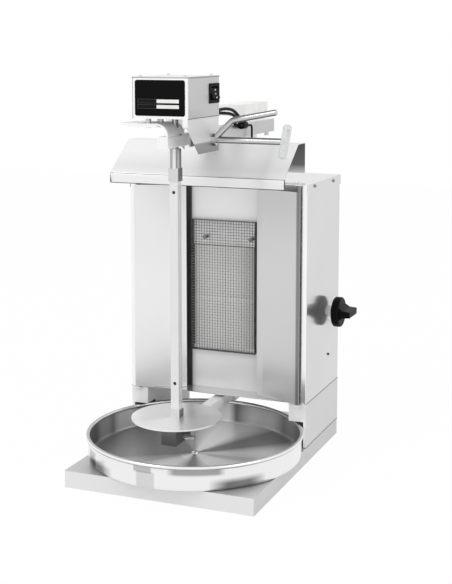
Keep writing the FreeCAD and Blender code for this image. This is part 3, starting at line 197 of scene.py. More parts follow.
# Noise scales that draw fine lines along one axis.
BRUSH = {"x": (3.0, 1300.0, 1300.0), "y": (1300.0, 3.0, 1300.0), "z": (1300.0, 1300.0, 3.0)}


def sheet_steel(name, front, side, top, roughness, direction="z", streak=0.03, cloud=0.04, metallic=0.7,
                grain=0.03, shade=None):
    """Ground sheet steel, with fine lines along one axis and a slow change of tone.

    front, side and top are painted light and shade: the greys of faces that look that way.
    """
    g = Graph(name)
    place = g.place()
    lines = g.noise(g.scaled(place, BRUSH[direction]), 1.0, detail=4.0, roughness=0.65)
    slow = g.noise(place, 5.0, detail=2.0)
    # Painted light and shade: each face gets the grey of the way it looks.
    tone = g.painted_facing_shade(front, side, top)
    if shade:
        tone = g.times(tone, shade(g, g.split(place)))
    colour = g.multiply(tone, g.multiply(g.ramp(lines, 1 - streak, 1.0), g.ramp(slow, 1 - cloud, 1.0)))
    g.bump(lines, grain)
    return g.finish(Base_Color=colour, Metallic=metallic, Anisotropic=0.3,
                    Roughness=g.plus(g.times(lines, grain), roughness - grain / 2))


# Painted light and shade along one axis, as points of (coordinate, grey).
# Painted shade on the bracket plate's lower part, and a painted highlight band at its bend.
PLATE_UP = [(0.780, 0.40), (0.799, 0.46), (0.803, 1.05), (0.811, 1.05), (0.822, 0.93), (0.850, 1.0)]
# Painted shade: a dark line down the motor box's left edge.
BOX_ACROSS = [(-0.0675, 0.55), (-0.0655, 0.60), (-0.0635, 1.0), (0.0600, 1.0)]
# Painted shade on the burner panel: darker towards the bottom, and a dark strip beside the left wing.
PANEL_UP = [(0.150, 0.80), (0.260, 0.84), (0.560, 1.0), (0.686, 1.0)]
PANEL_ACROSS = [(-0.115, 1.0), (-0.109, 0.10), (-0.091, 0.10), (-0.0875, 1.0)]
# Painted shade on the right wing's rolled outer edge.
WING_ACROSS = [(0.2090, 1.0), (0.2120, 0.40), (0.2210, 0.32)]
# Painted shade: the level wires are darker over the strip above the tiles.
WIRE_UP = [(0.300, 0.50), (0.5215, 0.50), (0.5235, 0.12), (0.584, 0.12)]
# Painted reflection and shade on the hood: a soft dark patch on the slope near the right end, and the back
# wall dark inside.
HOOD_ACROSS = [(0.120, 1.0), (0.150, 0.93), (0.165, 0.88), (0.185, 0.97), (0.210, 1.0)]
HOOD_UP = [(0.700, 0.97), (0.712, 1.0), (0.730, 0.92), (0.760, 1.0)]
HOOD_HOLLOW_UP = [(0.700, 1.0), (0.716, 0.85), (0.735, 0.22), (0.787, 0.15)]
HOOD_BACK_FROM = 0.05


def shade_along(axis, points):
    """A shade that follows points of (coordinate, grey) along one axis."""
    return lambda g, place: g.curve(place[axis], points)


def panel_shade(g, place):
    """Painted shade: the burner panel is paler towards its top, and dark in a strip beside the left wing."""
    return g.times(g.curve(place[Z], PANEL_UP), g.curve(place[X], PANEL_ACROSS))


def hood_shade(g, place):
    """Painted reflection and shade: a soft dark patch on the hood's slope near its right end, and its back
    wall dark inside.
    """
    slope = g.times(g.curve(place[X], HOOD_ACROSS), g.curve(place[Z], HOOD_UP))
    behind = g.times(g.math("LESS_THAN", g.normal()[Y], -0.5),
                     g.math("GREATER_THAN", place[Y], HOOD_BACK_FROM))
    return g.mix(behind, slope, g.curve(place[Z], HOOD_HOLLOW_UP))


# Noise scales of turning marks. An upright piece is striped by X, and one that lies along X by Z.
RING_SCALE = {X: (40.0, 40.0, 900.0), Z: (900.0, 40.0, 40.0)}


def striped_steel(name, stripes, roughness, axis, metallic=0.8):
    """A round or turned piece with painted reflections: bright and dark stripes that follow the way its
    surface faces.
    """
    g = Graph(name)
    rings = g.noise(g.scaled(g.place(), RING_SCALE[axis]), 1.0)
    tone = g.curve(g.normal()[axis], stripes)
    g.bump(rings, 0.03)
    return g.finish(Base_Color=g.multiply(tone, g.ramp(rings, 0.93, 1.0)), Metallic=metallic,
                    Roughness=g.plus(roughness, g.times(rings, 0.06)))


def polar(g, centre):
    """Radius from an upright axis, the unit direction from it, and the height."""
    parts = g.split(g.place())
    x = g.minus(parts[X], centre[X])
    y = g.minus(parts[Y], centre[Y])
    radius = g.math("SQRT", g.plus(g.times(x, x), g.times(y, y)))
    return radius, g.math("DIVIDE", x, radius), g.math("DIVIDE", y, radius), parts[Z]


def lobes(g, x, y, base, sectors):
    """Painted highlights and reflections round an axis: a base grey, with brighter sectors.

    A sector is its middle angle, its inner and outer half angle in degrees, and its rise.
    """
    total = base
    for angle, inner, outer, rise in sectors:
        middle, near, far = (math.radians(degrees) for degrees in (angle, inner, outer))
        closeness = g.plus(g.times(x, math.cos(middle)), g.times(y, math.sin(middle)))
        total = g.plus(total, g.curve(closeness, [(math.cos(far), 0.0), (math.cos(near), rise)]))
    return total


# Painted sheen: two brighter sectors on turned steel.
DISC_SHEEN = [(-100, 12, 40, 0.14), (60, 12, 40, 0.14)]


def turned_steel(name, shade, roughness, centre):
    """Steel with fine rings from turning or spinning, and a painted sheen in brighter sectors."""
    g = Graph(name)
    radius, x, y, height = polar(g, centre)
    spot = g.add("ShaderNodeCombineXYZ", i0=g.times(radius, 1500.0), i1=x, i2=g.times(height, 300.0))
    rings = g.noise(spot, 1.0, detail=2.0)
    slow = g.noise(g.place(), 6.0, detail=1.0)
    plain = g.multiply(g.ramp(rings, shade * 0.97, shade), g.ramp(slow, 0.97, 1.0))
    g.bump(rings, 0.01)
    return g.finish(Base_Color=g.multiply(plain, lobes(g, x, y, 0.86, DISC_SHEEN)), Metallic=0.7,
                    Roughness=g.plus(g.times(rings, 0.03), roughness - 0.015),
                    Anisotropic=0.4, Tangent=g.round_grain())


# Painted highlights and reflections inside the pan, as sectors on its floor and on its wall.
PAN_FLOOR = [(88, 9, 26, 0.78), (-105, 8, 28, 0.70), (-30, 14, 36, 0.72), (20, 6, 22, 0.55),
             (-135, 4, 16, 0.20), (118, 4, 12, 0.16)]
PAN_WALL = [(113, 20, 24, 0.78), (158, 4, 10, 0.50), (70, 8, 18, 0.40), (-60, 20, 60, 0.35),
            (-120, 20, 40, 0.30), (176, 3, 9, 0.25), (45, 3, 9, 0.12)]
PAN_BEAD_FOOT = 0.0915
# Painted reflection on the rim's bead: greys by height, a dark line under a bright band.
PAN_RIM_UP = [(PAN_BEAD_FOOT, 1.0), (0.0923, 0.42), (0.0943, 0.50), (0.0958, 1.0), (0.0988, 1.0),
              (0.1004, 0.5)]
# Painted dark reflections and the painted shadow under the rim, on the pan's outside: their sectors and how
# strong they are by height.
PAN_PAINTED_DARK = [
    ([(-130, 5, 16, 0.60), (-44, 6, 16, 0.66)], [(0.058, 1.0), (0.070, 0.0)]),
    ([(-66, 11, 15, 0.50), (-94, 4.5, 5.5, 0.35)], [(0.075, 0.0), (0.081, 1.0), (0.090, 1.0), (0.0935, 0.0)]),
    ([(-92.4, 4.5, 5.5, 0.20), (-136, 4, 6, 0.35)], [(0.079, 1.0), (0.082, 0.0)]),
]


def pan_steel():
    """The pan: pale outside with painted dark reflections and a painted rim shadow, and ground steel inside,
    painted darker as shade, whose grain fans out under painted highlights.
    """
    g = Graph("pan_steel")
    radius, x, y, height = polar(g, PAN_CENTRE)
    normal = g.normal()
    outward = g.plus(g.times(normal[X], x), g.times(normal[Y], y))
    level = g.math("GREATER_THAN", normal[Z], 0.7)
    inside = g.times(g.math("LESS_THAN", outward, 0.5), g.math("LESS_THAN", height, PAN_BEAD_FOOT))
    fan = g.noise(g.add("ShaderNodeCombineXYZ", i0=x, i1=y, i2=0.0), 9.0, detail=2.0)
    rings = g.noise(g.add("ShaderNodeCombineXYZ", i0=g.times(radius, 500.0), i1=x, i2=y), 1.0)
    # Painted shade and highlights: the inside is dark, with brighter sectors.
    inner = g.multiply(g.mix(level, lobes(g, x, y, 0.20, PAN_WALL), lobes(g, x, y, 0.24, PAN_FLOOR)),
                       g.multiply(g.ramp(fan, 0.93, 1.0), g.ramp(rings, 0.94, 1.0)))
    painted_dark = 0.0
    for sectors, heights in PAN_PAINTED_DARK:
        painted_dark = g.plus(painted_dark, g.times(lobes(g, x, y, 0.0, sectors), g.curve(height, heights)))
    outer = g.times(g.minus(0.86, painted_dark), g.curve(height, PAN_RIM_UP))
    g.bump(rings, 0.02)
    return g.finish(Base_Color=g.mix(inside, outer, inner), Metallic=g.minus(0.75, g.times(inside, 0.45)),
                    Roughness=g.plus(0.2, g.times(inside, 0.12)), Anisotropic=0.5, Tangent=g.round_grain())


def plastic(name, colour, roughness, grain=1800.0, gloss=0.05):
    """Moulded plastic or printed film with a fine grain."""
    g = Graph(name)
    place = g.place()
    fine = g.noise(place, grain, detail=2.0)
    slow = g.noise(place, 14.0, detail=2.0)
    dark = tuple(part * 0.8 for part in colour)
    g.bump(fine, 0.12)
    return g.finish(Base_Color=g.ramp(slow, dark, colour), Specular_IOR_Level=gloss,
                    Roughness=g.plus(g.times(fine, 0.12), roughness - 0.06))


def grip_plastic():
    """The lever's milky, slightly clear grip."""
    g = Graph("grip_plastic")
    cloud = g.noise(g.place(), 40.0, detail=3.0)
    g.bump(g.noise(g.place(), 600.0), 0.08)
    return g.finish(Base_Color=g.ramp(cloud, (0.74, 0.75, 0.75), (0.88, 0.89, 0.89)),
                    Roughness=g.plus(0.24, g.times(cloud, 0.1)),
                    Transmission_Weight=0.25, Subsurface_Weight=0.3, Subsurface_Radius=(0.01, 0.01, 0.01))


def rubber():
    """The black skin of the cables."""
    g = Graph("cable_rubber")
    fine = g.noise(g.place(), 900.0, detail=3.0)
    g.bump(fine, 0.1, 0.0004)
    return g.finish(Base_Color=g.ramp(fine, (0.004, 0.004, 0.004), (0.010, 0.010, 0.010)),
                    Roughness=g.plus(0.5, g.times(fine, 0.16)), Specular_IOR_Level=0.06)


HOLE_PITCH = 0.0034
# Painted shade on the tiles: a dark shadow along their sides and top, and a fall towards the right edge.
TILES_ACROSS = [(-0.083, 0.04), (-0.081, 0.9), (-0.040, 1.0), (0.030, 1.0), (0.078, 0.70), (0.0785, 0.04)]
TILES_UP = [(0.2600, 1.0), (0.5165, 1.0), (0.5175, 0.04)]
TILE_JOINT_UP = [(0.3790, 0.0), (0.3810, 1.0), (0.3840, 1.0), (0.3860, 0.0)]


def ceramic():
    """Infrared tiles: pale fired clay pierced by small holes and a white joint, with a painted shadow along
    their sides and top, and painted shade towards their right edge.
    """
    g = Graph("burner_ceramic")
    place = g.place()
    parts = g.split(place)
    turns = 2 * math.pi / HOLE_PITCH
    across, up = (g.math("COSINE", g.times(parts[axis], turns)) for axis in (X, Z))
    pierced = g.ramp(g.times(g.plus(across, 1.0), g.plus(up, 1.0)), 0.0, 1.0, 0.45, 0.72)
    stain = g.noise(place, 22.0, detail=4.0)
    clay = g.ramp(stain, (0.93, 0.925, 0.91), (0.98, 0.975, 0.96))
    tile = g.mix(g.curve(parts[Z], TILE_JOINT_UP), g.mix(pierced, clay, (0.86, 0.855, 0.84)), (1.0, 1.0, 1.0))
    painted_tile_shade = g.times(g.curve(parts[X], TILES_ACROSS), g.curve(parts[Z], TILES_UP))
    g.bump(g.minus(1.0, pierced), 0.6, 0.001)
    return g.finish(Base_Color=g.multiply(tile, painted_tile_shade), Roughness=g.plus(0.7, g.times(stain, 0.2)))


def metal(name, dark, light, roughness):
    """A small turned or cast piece with slight stains."""
    g = Graph(name)
    stain = g.noise(g.place(), 60.0, detail=4.0)
    g.bump(g.noise(g.place(), 700.0), 0.08, 0.0004)
    return g.finish(Base_Color=g.ramp(stain, dark, light), Metallic=1.0,
                    Roughness=g.plus(roughness, g.times(stain, 0.1)))


def painted(name, dark, light):
    """Rough cast metal under paint."""
    g = Graph(name)
    speck = g.noise(g.place(), 500.0, detail=4.0)
    g.bump(speck, 0.25, 0.0006)
    return g.finish(Base_Color=g.ramp(speck, dark, light), Roughness=g.plus(0.4, g.times(speck, 0.2)))


# Painted reflection stripes: greys by how far a round piece's surface faces along an axis, from -1 to 1.
ROD_STRIPES = [(-1.0, 0.08), (-0.70, 0.22), (-0.45, 0.54), (0.10, 0.64), (0.40, 0.40), (0.78, 0.14),
               (1.0, 0.10)]
HUB_STRIPES = [(-1.0, 0.22), (-0.75, 0.80), (-0.45, 0.38), (-0.1, 0.45), (0.1, 0.86), (0.42, 0.78),
               (0.55, 0.24), (0.85, 0.50), (1.0, 0.12)]
SMOOTH = {"streak": 0.006, "metallic": 0.55, "grain": 0.004}
# The front, side and top greys of the sheet steels are painted light and shade.
MATERIALS = {
    "casing": sheet_steel("casing_steel", 0.97, 0.66, 0.66, 0.16, metallic=0.85),
    "rear": sheet_steel("rear_steel", 0.68, 0.62, 0.62, 0.38),
    "leg": sheet_steel("leg_steel", 0.98, 0.68, 0.66, 0.46, metallic=0.2),
    "base": sheet_steel("base_steel", 0.80, 0.60, 0.58, 0.40, "x", metallic=0.45),
    "hood": sheet_steel("hood_steel", 0.92, 0.42, 0.84, 0.45, "x", metallic=0.6, shade=hood_shade),
    "box": sheet_steel("box_steel", 0.92, 0.56, 0.80, 0.40, shade=shade_along(X, BOX_ACROSS)),
    "lid": sheet_steel("lid_steel", 0.60, 0.44, 0.80, 0.40),
    "shelf": sheet_steel("shelf_steel", 0.90, 0.97, 0.88, 0.40, metallic=0.1),
    "plate": sheet_steel("plate_steel", 0.90, 0.76, 0.80, 0.42, metallic=0.6,
                         shade=shade_along(Z, PLATE_UP)),
    "bar": sheet_steel("bar_steel", 0.88, 0.97, 0.80, 0.36, "y", metallic=0.1),
    "sleeve": sheet_steel("sleeve_steel", 0.80, 0.55, 0.70, 0.36, "y"),
    # Painted shade: the bearing block's steel is dark as in the disc's shadow; the guard bolts and roof
    # screws share it.
    "block": sheet_steel("shaded_block_steel", 0.20, 0.14, 0.55, 0.30, "y"),
    "left_wing": sheet_steel("left_wing_steel", 0.85, 0.98, 0.70, 0.28, **SMOOTH),
    # Painted shade: the right wing is a darker copy of the left wing's steel, with a dark band on its rolled
    # outer edge.
    "right_wing": sheet_steel("shaded_right_wing_steel", 0.63, 0.98, 0.70, 0.28,
                              shade=shade_along(X, WING_ACROSS), **SMOOTH),
    "panel": sheet_steel("panel_steel", 0.98, 0.90, 0.80, 0.30, streak=0.01, metallic=0.3, grain=0.01,
                         shade=panel_shade),
    "spit": sheet_steel("spit_steel", 0.78, 0.78, 0.70, 0.24, metallic=0.6),
    "rod": striped_steel("rod_steel", ROD_STRIPES, 0.18, Z),
    "hub": striped_steel("hub_steel", HUB_STRIPES, 0.20, X, metallic=0.5),
    "chrome": sheet_steel("screw_steel", 0.70, 0.60, 0.70, 0.22),
    "disc": turned_steel("disc_steel", 0.90, 0.30, SPIT_AXIS),
    "turned": turned_steel("turned_steel", 0.66, 0.22, SPIT_AXIS),
    "pan": pan_steel(),
    "plain": sheet_steel("plain_steel", 0.62, 0.50, 0.50, 0.40),
    # Painted light and shade: the guard's upright wires are a dark, shaded copy of its level wires, which are
    # painted light.
    "wire": metal("guard_wire", (0.05, 0.05, 0.05), (0.12, 0.12, 0.12), 0.3),
    "painted_lit_wire": sheet_steel("painted_lit_wire", 0.92, 0.90, 0.90, 0.35, "x", metallic=0.4,
                               shade=shade_along(Z, WIRE_UP)),
    "brass": metal("valve_brass", (0.50, 0.37, 0.16), (0.70, 0.54, 0.26), 0.22),
    "copper": metal("pipe_copper", (0.46, 0.26, 0.17), (0.66, 0.40, 0.28), 0.25),
    "cast": painted("motor_paint", (0.10, 0.105, 0.11), (0.16, 0.165, 0.17)),
    "black": plastic("black_plastic", (0.005, 0.005, 0.005), 0.5),
    "knob": plastic("knob_plastic", (0.003, 0.003, 0.003), 0.45, grain=900.0, gloss=0.08),
    "label": plastic("label_film", (0.004, 0.004, 0.004), 0.5, grain=500.0),
    "seam": plastic("seam_shadow", (0.030, 0.030, 0.031), 0.6),
    "white": plastic("white_plastic", (0.95, 0.95, 0.94), 0.34, gloss=0.5),
    "print": plastic("label_print", (0.88, 0.88, 0.87), 0.3, gloss=0.3),
    "line": plastic("label_line", (0.09, 0.09, 0.092), 0.4),
    "field": plastic("label_field", (0.010, 0.010, 0.010), 0.4),
    "grip": grip_plastic(),
    "cable": rubber(),
    "ceramic": ceramic(),
}

NODE_LOOK = {
    "base": ["base_tray"],
    "casing": ["left_side_panel", "right_side_panel", "casing_floor", "roof_cover", "guide_post"],
    "rear": ["rear_panel"],
    "leg": ["left_leg", "right_leg", "hinge_lugs", "hinge_pins"],
    "hood": ["hood"],
    "box": ["motor_box"],
    "lid": ["motor_lid"],
    "shelf": ["console_shelf"],
    "plate": ["rear_bracket"],
    "bar": ["guide_end_cap", "upper_arm", "lower_arm"],
    "sleeve": ["guide_sleeve", "lower_guide"],
    "block": ["bearing_block", "guard_bolts", "roof_screws"],
    "left_wing": ["left_wing"],
    "right_wing": ["right_wing"],
    "panel": ["burner_panel"],
    "spit": ["spit_tube"],
    "rod": ["clamp_screw"],
    "hub": ["drive_shaft", "spit_foot"],
    "chrome": ["valve_nut", "spacer_bolts", "lid_screws", "block_bolt"],
    "disc": ["meat_disc"],
    "turned": ["valve_spindle"],
    "pan": ["drip_pan"],
    "plain": ["base_bottom", "burner_box", "mixing_tube"],
    "wire": ["burner_guard"],
    "brass": ["gas_injector", "gas_valve", "gas_inlet", "upper_bush", "lower_bush"],
    "copper": ["gas_pipe"],
    "cast": ["gear_motor"],
    "black": ["cable_gland", "switch_bezel", "switch_rocker"],
    "knob": ["gas_knob"],
    "label": ["front_label"],
    "white": ["stop_bolt", "terminal_box"],
    "grip": ["clamp_grip"],
    "cable": ["sensor_lead", "motor_cable"],
    "ceramic": ["ceramic_tiles"],
}


def dress_nodes():
    """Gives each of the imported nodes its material."""
    for look, names in NODE_LOOK.items():
        for name in names:
            data = nodes[name].data
            data.materials.clear()
            data.materials.append(MATERIALS[look])


def piece(name, mesh, look, body):
    """Places a mesh that rides on a body."""
    mesh.materials.append(MATERIALS[look])
    obj = bpy.data.objects.new(name, mesh)
    scene.collection.objects.link(obj)
    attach(obj, body)
    return obj


# The corners of each face of a box, as add_box counts them.
BOX_FACES = ((0, 1, 3, 2), (4, 6, 7, 5), (0, 4, 5, 1), (2, 3, 7, 6), (0, 2, 6, 4), (1, 5, 7, 3))


def add_box(bm, low, high):
    """A closed box between two corners."""
    corners = [bm.verts.new((x, y, z)) for x in (low[0], high[0]) for y in (low[1], high[1])
               for z in (low[2], high[2])]
    for face in BOX_FACES:
        bm.faces.new([corners[i] for i in face])


def add_tube(bm, points, radius, sides, up=Vector((0, 0, 1))):
    """A round rod along points; its rings keep one direction, so it never twists."""
    rings = []
    last = len(points) - 1
    for i, point in enumerate(points):
        along = (points[min(i + 1, last)] - points[max(i - 1, 0)]).normalized()
        side = along.cross(up).normalized()
        over = side.cross(along)
        rings.append([bm.verts.new(point + radius * (math.cos(t) * side + math.sin(t) * over))
                      for t in (2 * math.pi * k / sides for k in range(sides))])
    for first, second in zip(rings, rings[1:]):
        for k in range(sides):
            j = (k + 1) % sides
            face = bm.faces.new((first[k], first[j], second[j], second[k]))
            face.smooth = True
    bm.faces.new(rings[0][::-1])
    bm.faces.new(rings[-1])


def finished(bm, name):
    """The mesh of all that was added, with its faces turned outward."""
    bmesh.ops.recalc_face_normals(bm, faces=bm.faces)
    mesh = bpy.data.meshes.new(name)
    bm.to_mesh(mesh)
    bm.free()
    return mesh


WIRE_PITCH = 0.0070
WIRE_RADIUS = 0.0006
WIRE_SIDES = 5
WIRE_WEAVE = WIRE_RADIUS * 0.9
GUARD_SHEET = 0.001


def burner_guard():
    """Woven wire in a shallow sheet rim, in the place of the holed sheet."""
    low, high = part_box("burner_guard")
    face = low.y + WIRE_RADIUS * 2
    upright = bmesh.new()
    level = bmesh.new()
    columns = int((high.x - low.x) / WIRE_PITCH)
    rows = int((high.z - low.z) / WIRE_PITCH)
    step_x = (high.x - low.x) / columns
    step_z = (high.z - low.z) / rows
    for column in range(1, columns):
        x = low.x + column * step_x
        points = [Vector((x, face + WIRE_WEAVE * (-1) ** (column + row), low.z + GUARD_SHEET / 2
                          + (high.z - low.z - GUARD_SHEET) * row / rows)) for row in range(rows + 1)]
        add_tube(upright, points, WIRE_RADIUS, WIRE_SIDES, up=Vector((0, 1, 0)))
    for row in range(1, rows):
        z = low.z + row * step_z
        points = [Vector((low.x + GUARD_SHEET / 2 + (high.x - low.x - GUARD_SHEET) * column / columns,
                          face - WIRE_WEAVE * (-1) ** (column + row), z)) for column in range(columns + 1)]
        add_tube(level, points, WIRE_RADIUS, WIRE_SIDES, up=Vector((0, 1, 0)))
    for x0, x1, z0, z1 in ((low.x, high.x, low.z, low.z + GUARD_SHEET),
                           (low.x, high.x, high.z - GUARD_SHEET, high.z),
                           (low.x, low.x + GUARD_SHEET, low.z, high.z),
                           (high.x - GUARD_SHEET, high.x, low.z, high.z)):
        add_box(upright, (x0, low.y, z0), (x1, high.y, z1))
    for name, bm, look in (("upright_wires", upright, "wire"), ("level_wires", level, "painted_lit_wire")):
        wires = piece(name, finished(bm, name), look, "frame")
        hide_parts("burner_guard")


CABLE_RADIUS = 0.0038
CABLE_SIDES = 14
OUTER_CABLE = [(0.0535, -0.100, 0.8695), (0.0500, -0.064, 0.8670), (0.0470, -0.028, 0.8682),
               (0.0437, 0.008, 0.8669), (0.0402, 0.044, 0.8636), (0.0370, 0.080, 0.8550),
               (0.0340, 0.116, 0.8380), (0.0317, 0.119, 0.8190), (0.0317, 0.139, 0.8190)]
INNER_CABLE = [(0.0375, -0.100, 0.8655), (0.0370, -0.064, 0.8620), (0.0363, -0.028, 0.8585),
               (0.0358, 0.008, 0.8565), (0.0352, 0.044, 0.8535), (0.0346, 0.080, 0.8470),
               (0.0290, 0.100, 0.8340), (0.0233, 0.106, 0.8190), (0.0233, 0.139, 0.8190)]


def cable_line(name, route):
    """Points along a smooth open spline through a cable's route."""
    data = bpy.data.curves.new(name, "CURVE")
    data.dimensions = "3D"
    data.resolution_u = 12
    spline = data.splines.new("NURBS")
    spline.points.add(len(route) - 1)
    for point, spot in zip(spline.points, route):
        point.co = (*spot, 1.0)
    spline.order_u = 3
    spline.use_endpoint_u = True
    curve = bpy.data.objects.new(name, data)
    line = bpy.data.meshes.new_from_object(curve)
    spots = [vertex.co.copy() for vertex in line.vertices]
    bpy.data.meshes.remove(line)
    bpy.data.objects.remove(curve)
    bpy.data.curves.remove(data)
    return spots


def motor_cables():
    """The drive's two cables bend between the carriage and the gland on the guide."""
    for name, route in (("outer_cable", OUTER_CABLE), ("inner_cable", INNER_CABLE)):
        bm = bmesh.new()
        add_tube(bm, cable_line(name, route), CABLE_RADIUS, CABLE_SIDES, up=Vector((1, 0, 0)))
        mesh = finished(bm, name)
        mesh.materials.append(MATERIALS["cable"])
        tube = bpy.data.objects.new(name, mesh)
        scene.collection.objects.link(tube)
        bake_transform(tube)
        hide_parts("motor_cable")


LABEL_ROWS = ((0.8915, 0.9005), (0.8795, 0.8885))
FIELD_SIDES = (-0.053, -0.008)
BAR_SIDES = (-0.007, 0.046)
PRINT_LIFT = 0.0003
PRINT_LINE = 0.0006


def label_print():
    """Two rows on the front label: an outlined dark field and a white bar each."""
    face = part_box("front_label")[0].y
    left, right = FIELD_SIDES
    lines, bars, fields = bmesh.new(), bmesh.new(), bmesh.new()
    for low, high in LABEL_ROWS:
        add_box(fields, (left, face - PRINT_LIFT, low), (right, face + PRINT_LIFT, high))
        for x0, x1, z0, z1 in ((left, right, low, low + PRINT_LINE), (left, right, high - PRINT_LINE, high),
                               (left, left + PRINT_LINE, low, high), (right - PRINT_LINE, right, low, high)):
            add_box(lines, (x0, face - 2 * PRINT_LIFT, z0), (x1, face - PRINT_LIFT, z1))
        add_box(bars, (BAR_SIDES[0], face - 2 * PRINT_LIFT, low + PRINT_LINE),
                (BAR_SIDES[1], face + PRINT_LIFT, high - PRINT_LINE))
    piece("label_lines", finished(lines, "label_lines"), "line", "motor_carriage")
    piece("label_bars", finished(bars, "label_bars"), "print", "motor_carriage")
    piece("label_fields", finished(fields, "label_fields"), "field", "motor_carriage")


# Each pip's share of the rocker's height, and how far it stands out of the rocker's side.
PIPS = ((0.16, 0.0005), (0.48, -0.0028), (0.82, -0.0034))
PIP_ENDS = (-0.002, 0.0004)
PIP_RADIUS = 0.0017
PIP_SIDES = 12


def switch_marks():
    """Three pale pips along the rocker's edge: painted glints."""
    low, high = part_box("switch_rocker")
    bm = bmesh.new()
    middle = (low.y + high.y) / 2
    for share, reach in PIPS:
        z = low.z + (high.z - low.z) * share
        ends = [Vector((high.x + reach + shift, middle, z)) for shift in PIP_ENDS]
        add_tube(bm, ends, PIP_RADIUS, PIP_SIDES)
    piece("rocker_pips", finished(bm, "rocker_pips"), "print", "rocker")


SEAM_SHEET = 0.0005
PANEL_SEAM = 0.0008
LEG_SEAM = 0.0010
EDGE_SEAM = 0.0006
LIP_SEAM = 0.0004
LIP_UNDER = (0.6886, 0.6898)
LIP_FOOT = 0.6900
LIP_BEND = 0.7126
LIP_DEPTH = 0.0040


def strip(bm, low, high):
    """A hairline of shadow standing just proud of a face."""
    add_box(bm, [value - SEAM_SHEET / 2 for value in low], [value + SEAM_SHEET / 2 for value in high])


def seams():
    """Dark lines between the sheets, on both sides of the machine: partly dark joints, partly painted shadow
    under, along and at the ends of the hood's lip.
    """
    fixed = bmesh.new()
    for name, at in (("right_side_panel", 1), ("left_side_panel", 0)):
        low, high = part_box(name)
        x = (low, high)[at].x
        strip(fixed, (x, low.y, low.z), (x, high.y, low.z + PANEL_SEAM))
        strip(fixed, (x, low.y, high.z - EDGE_SEAM), (x, high.y, high.z))
    for name, at in (("right_leg", 1), ("left_leg", 0)):
        low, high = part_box(name)
        x = (low, high)[at].x
        strip(fixed, (x, low.y, low.z), (x, high.y, low.z + LEG_SEAM))
        strip(fixed, (low.x, low.y, low.z), (high.x, low.y, low.z + LEG_SEAM))
    low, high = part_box("hood")
    strip(fixed, (low.x, low.y + LIP_DEPTH, LIP_UNDER[0]),
          (high.x, low.y + LIP_DEPTH + EDGE_SEAM, LIP_UNDER[1]))
    strip(fixed, (low.x, low.y, LIP_BEND), (high.x, low.y + LIP_SEAM, LIP_BEND + LIP_SEAM))
    for x in (low.x, high.x):
        strip(fixed, (x, low.y, LIP_FOOT), (x, low.y + LIP_DEPTH, LIP_BEND))
    piece("sheet_seams", finished(fixed, "sheet_seams"), "seam", "frame")
    carried = bmesh.new()
    low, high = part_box("motor_box")
    for x in (low.x, high.x):
        strip(carried, (x, low.y, low.z), (x, high.y, low.z + EDGE_SEAM))
        strip(carried, (x, low.y, high.z - EDGE_SEAM), (x, high.y, high.z))
    strip(carried, (low.x, low.y, high.z - EDGE_SEAM), (high.x, low.y, high.z))
    piece("box_seams", finished(carried, "box_seams"), "seam", "motor_carriage")


SCREW_Y, SCREW_Z = 0.223, 0.2343
SCREW_RADIUS = 0.0032
SCREW_SIDES = 12
SCREW_STEPS = (-0.001, 0.0016, 0.0024)


def side_screws():
    """A small dark screw head low at the back of each side panel."""
    bm = bmesh.new()
    for name, at, out in (("right_side_panel", 1, 1), ("left_side_panel", 0, -1)):
        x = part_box(name)[at].x
        steps = [Vector((x + step * out, SCREW_Y, SCREW_Z)) for step in SCREW_STEPS]
        add_tube(bm, steps, SCREW_RADIUS, SCREW_SIDES)
    piece("panel_screws", finished(bm, "panel_screws"), "seam", "frame")


STUD_FOOT = 0.0412
STUD_PROFILE = [(0.0100, 0.0), (0.0098, 0.0020), (0.0085, 0.0045), (0.0055, 0.0062), (0.0, 0.0068)]
STUD_SIDES = 24
STUD_WELD = 0.00001


def pan_stud():
    """A low polished dome at the middle of the pan's floor."""
    bm = bmesh.new()
    angles = [2 * math.pi * k / STUD_SIDES for k in range(STUD_SIDES)]
    last = None
    for radius, rise in STUD_PROFILE:
        ring = [bm.verts.new((PAN_CENTRE[X] + radius * math.cos(t), PAN_CENTRE[Y] + radius * math.sin(t),
                              STUD_FOOT + rise)) for t in angles]
        if last:
            for k in range(STUD_SIDES):
                j = (k + 1) % STUD_SIDES
                bm.faces.new((last[k], last[j], ring[j], ring[k])).smooth = True
        last = ring
    bmesh.ops.remove_doubles(bm, verts=bm.verts, dist=STUD_WELD)
    piece("pan_stud", finished(bm, "pan_stud"), "chrome", "pan")


WHITE = (1.0, 1.0, 1.0, 1.0)
FLOOR_GREY = (0.86, 0.86, 0.86, 1.0)
FLOOR_HALF = 6.0
FLOOR_GLOW = 0.97


def stage_floor():
    """A pale floor that fades into the white background and keeps a soft shadow."""
    bm = bmesh.new()
    bmesh.ops.create_grid(bm, x_segments=1, y_segments=1, size=FLOOR_HALF)
    mesh = bpy.data.meshes.new("floor")
    bm.to_mesh(mesh)
    bm.free()
    floor = bpy.data.objects.new("floor", mesh)
    scene.collection.objects.link(floor)
    material = bpy.data.materials.new("floor_paper")
    material.use_nodes = True
    tree = material.node_tree
    shader = tree.nodes["Principled BSDF"]
    shader.inputs["Base Color"].default_value = FLOOR_GREY
    shader.inputs["Roughness"].default_value = 0.9
    glow = tree.nodes.new("ShaderNodeEmission")
    mix = tree.nodes.new("ShaderNodeMixShader")
    tree.links.new(seen_rays(tree, FLOOR_GLOW), mix.inputs[0])
    tree.links.new(shader.outputs[0], mix.inputs[1])
    tree.links.new(glow.outputs[0], mix.inputs[2])
    tree.links.new(mix.outputs[0], tree.nodes["Material Output"].inputs[0])
    mesh.materials.append(material)


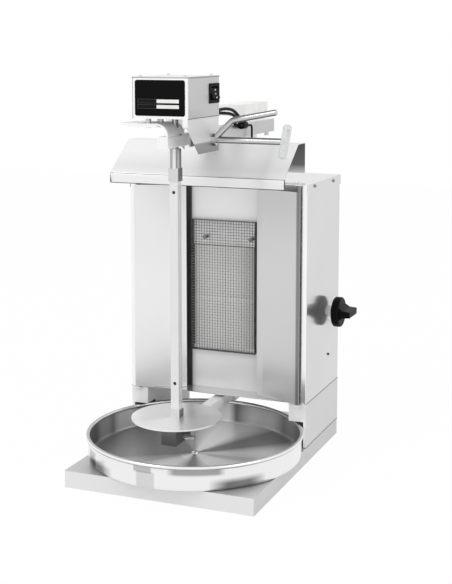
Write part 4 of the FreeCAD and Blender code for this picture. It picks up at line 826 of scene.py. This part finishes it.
def seen_rays(tree, share):
    """share for camera, glossy and transmission rays, 0 for the rest."""
    path = tree.nodes.new("ShaderNodeLightPath")
    total = path.outputs["Is Camera Ray"]
    for name in ("Is Glossy Ray", "Is Transmission Ray"):
        larger = tree.nodes.new("ShaderNodeMath")
        larger.operation = "MAXIMUM"
        tree.links.new(total, larger.inputs[0])
        tree.links.new(path.outputs[name], larger.inputs[1])
        total = larger.outputs[0]
    scaled = tree.nodes.new("ShaderNodeMath")
    scaled.operation = "MULTIPLY"
    tree.links.new(total, scaled.inputs[0])
    scaled.inputs[1].default_value = share
    return scaled.outputs[0]


WORLD_LEVEL = 0.78


def light_world():
    """A white surround that lights matt faces at WORLD_LEVEL and shows white to the camera and in mirrors."""
    world = bpy.data.worlds.new("studio")
    scene.world = world
    world.use_nodes = True
    tree = world.node_tree
    sky = tree.nodes["Background"]
    white = tree.nodes.new("ShaderNodeBackground")
    mix = tree.nodes.new("ShaderNodeMixShader")
    sky.inputs["Color"].default_value = WHITE
    sky.inputs["Strength"].default_value = WORLD_LEVEL
    white.inputs["Color"].default_value = WHITE
    tree.links.new(seen_rays(tree, 1.0), mix.inputs[0])
    tree.links.new(sky.outputs[0], mix.inputs[1])
    tree.links.new(white.outputs[0], mix.inputs[2])
    tree.links.new(mix.outputs[0], tree.nodes["World Output"].inputs[0])


# Each lamp's name, place, aim, width and height, and power in watts.
LAMPS = [("key", (-1.6, -2.4, 2.6), (0.0, 0.0, 0.45), (1.6, 1.6), 38.0),
         ("fill", (2.6, -0.8, 1.8), (0.0, 0.0, 0.5), (1.4, 1.8), 18.0)]


def area_light(name, place, aim, size, power):
    data = bpy.data.lights.new(name, "AREA")
    data.shape = "RECTANGLE"
    data.size, data.size_y = size
    data.energy = power
    lamp = bpy.data.objects.new(name, data)
    lamp.location = place
    lamp.rotation_mode = "QUATERNION"
    lamp.rotation_quaternion = (Vector(aim) - Vector(place)).to_track_quat("-Z", "Y")
    scene.collection.objects.link(lamp)


scene.view_settings.view_transform = "Standard"
set_camera()
dress_nodes()
burner_guard()
motor_cables()
label_print()
switch_marks()
seams()
side_screws()
pan_stud()
stage_floor()
light_world()
for facts in LAMPS:
    area_light(*facts)

bpy.context.view_layer.update()
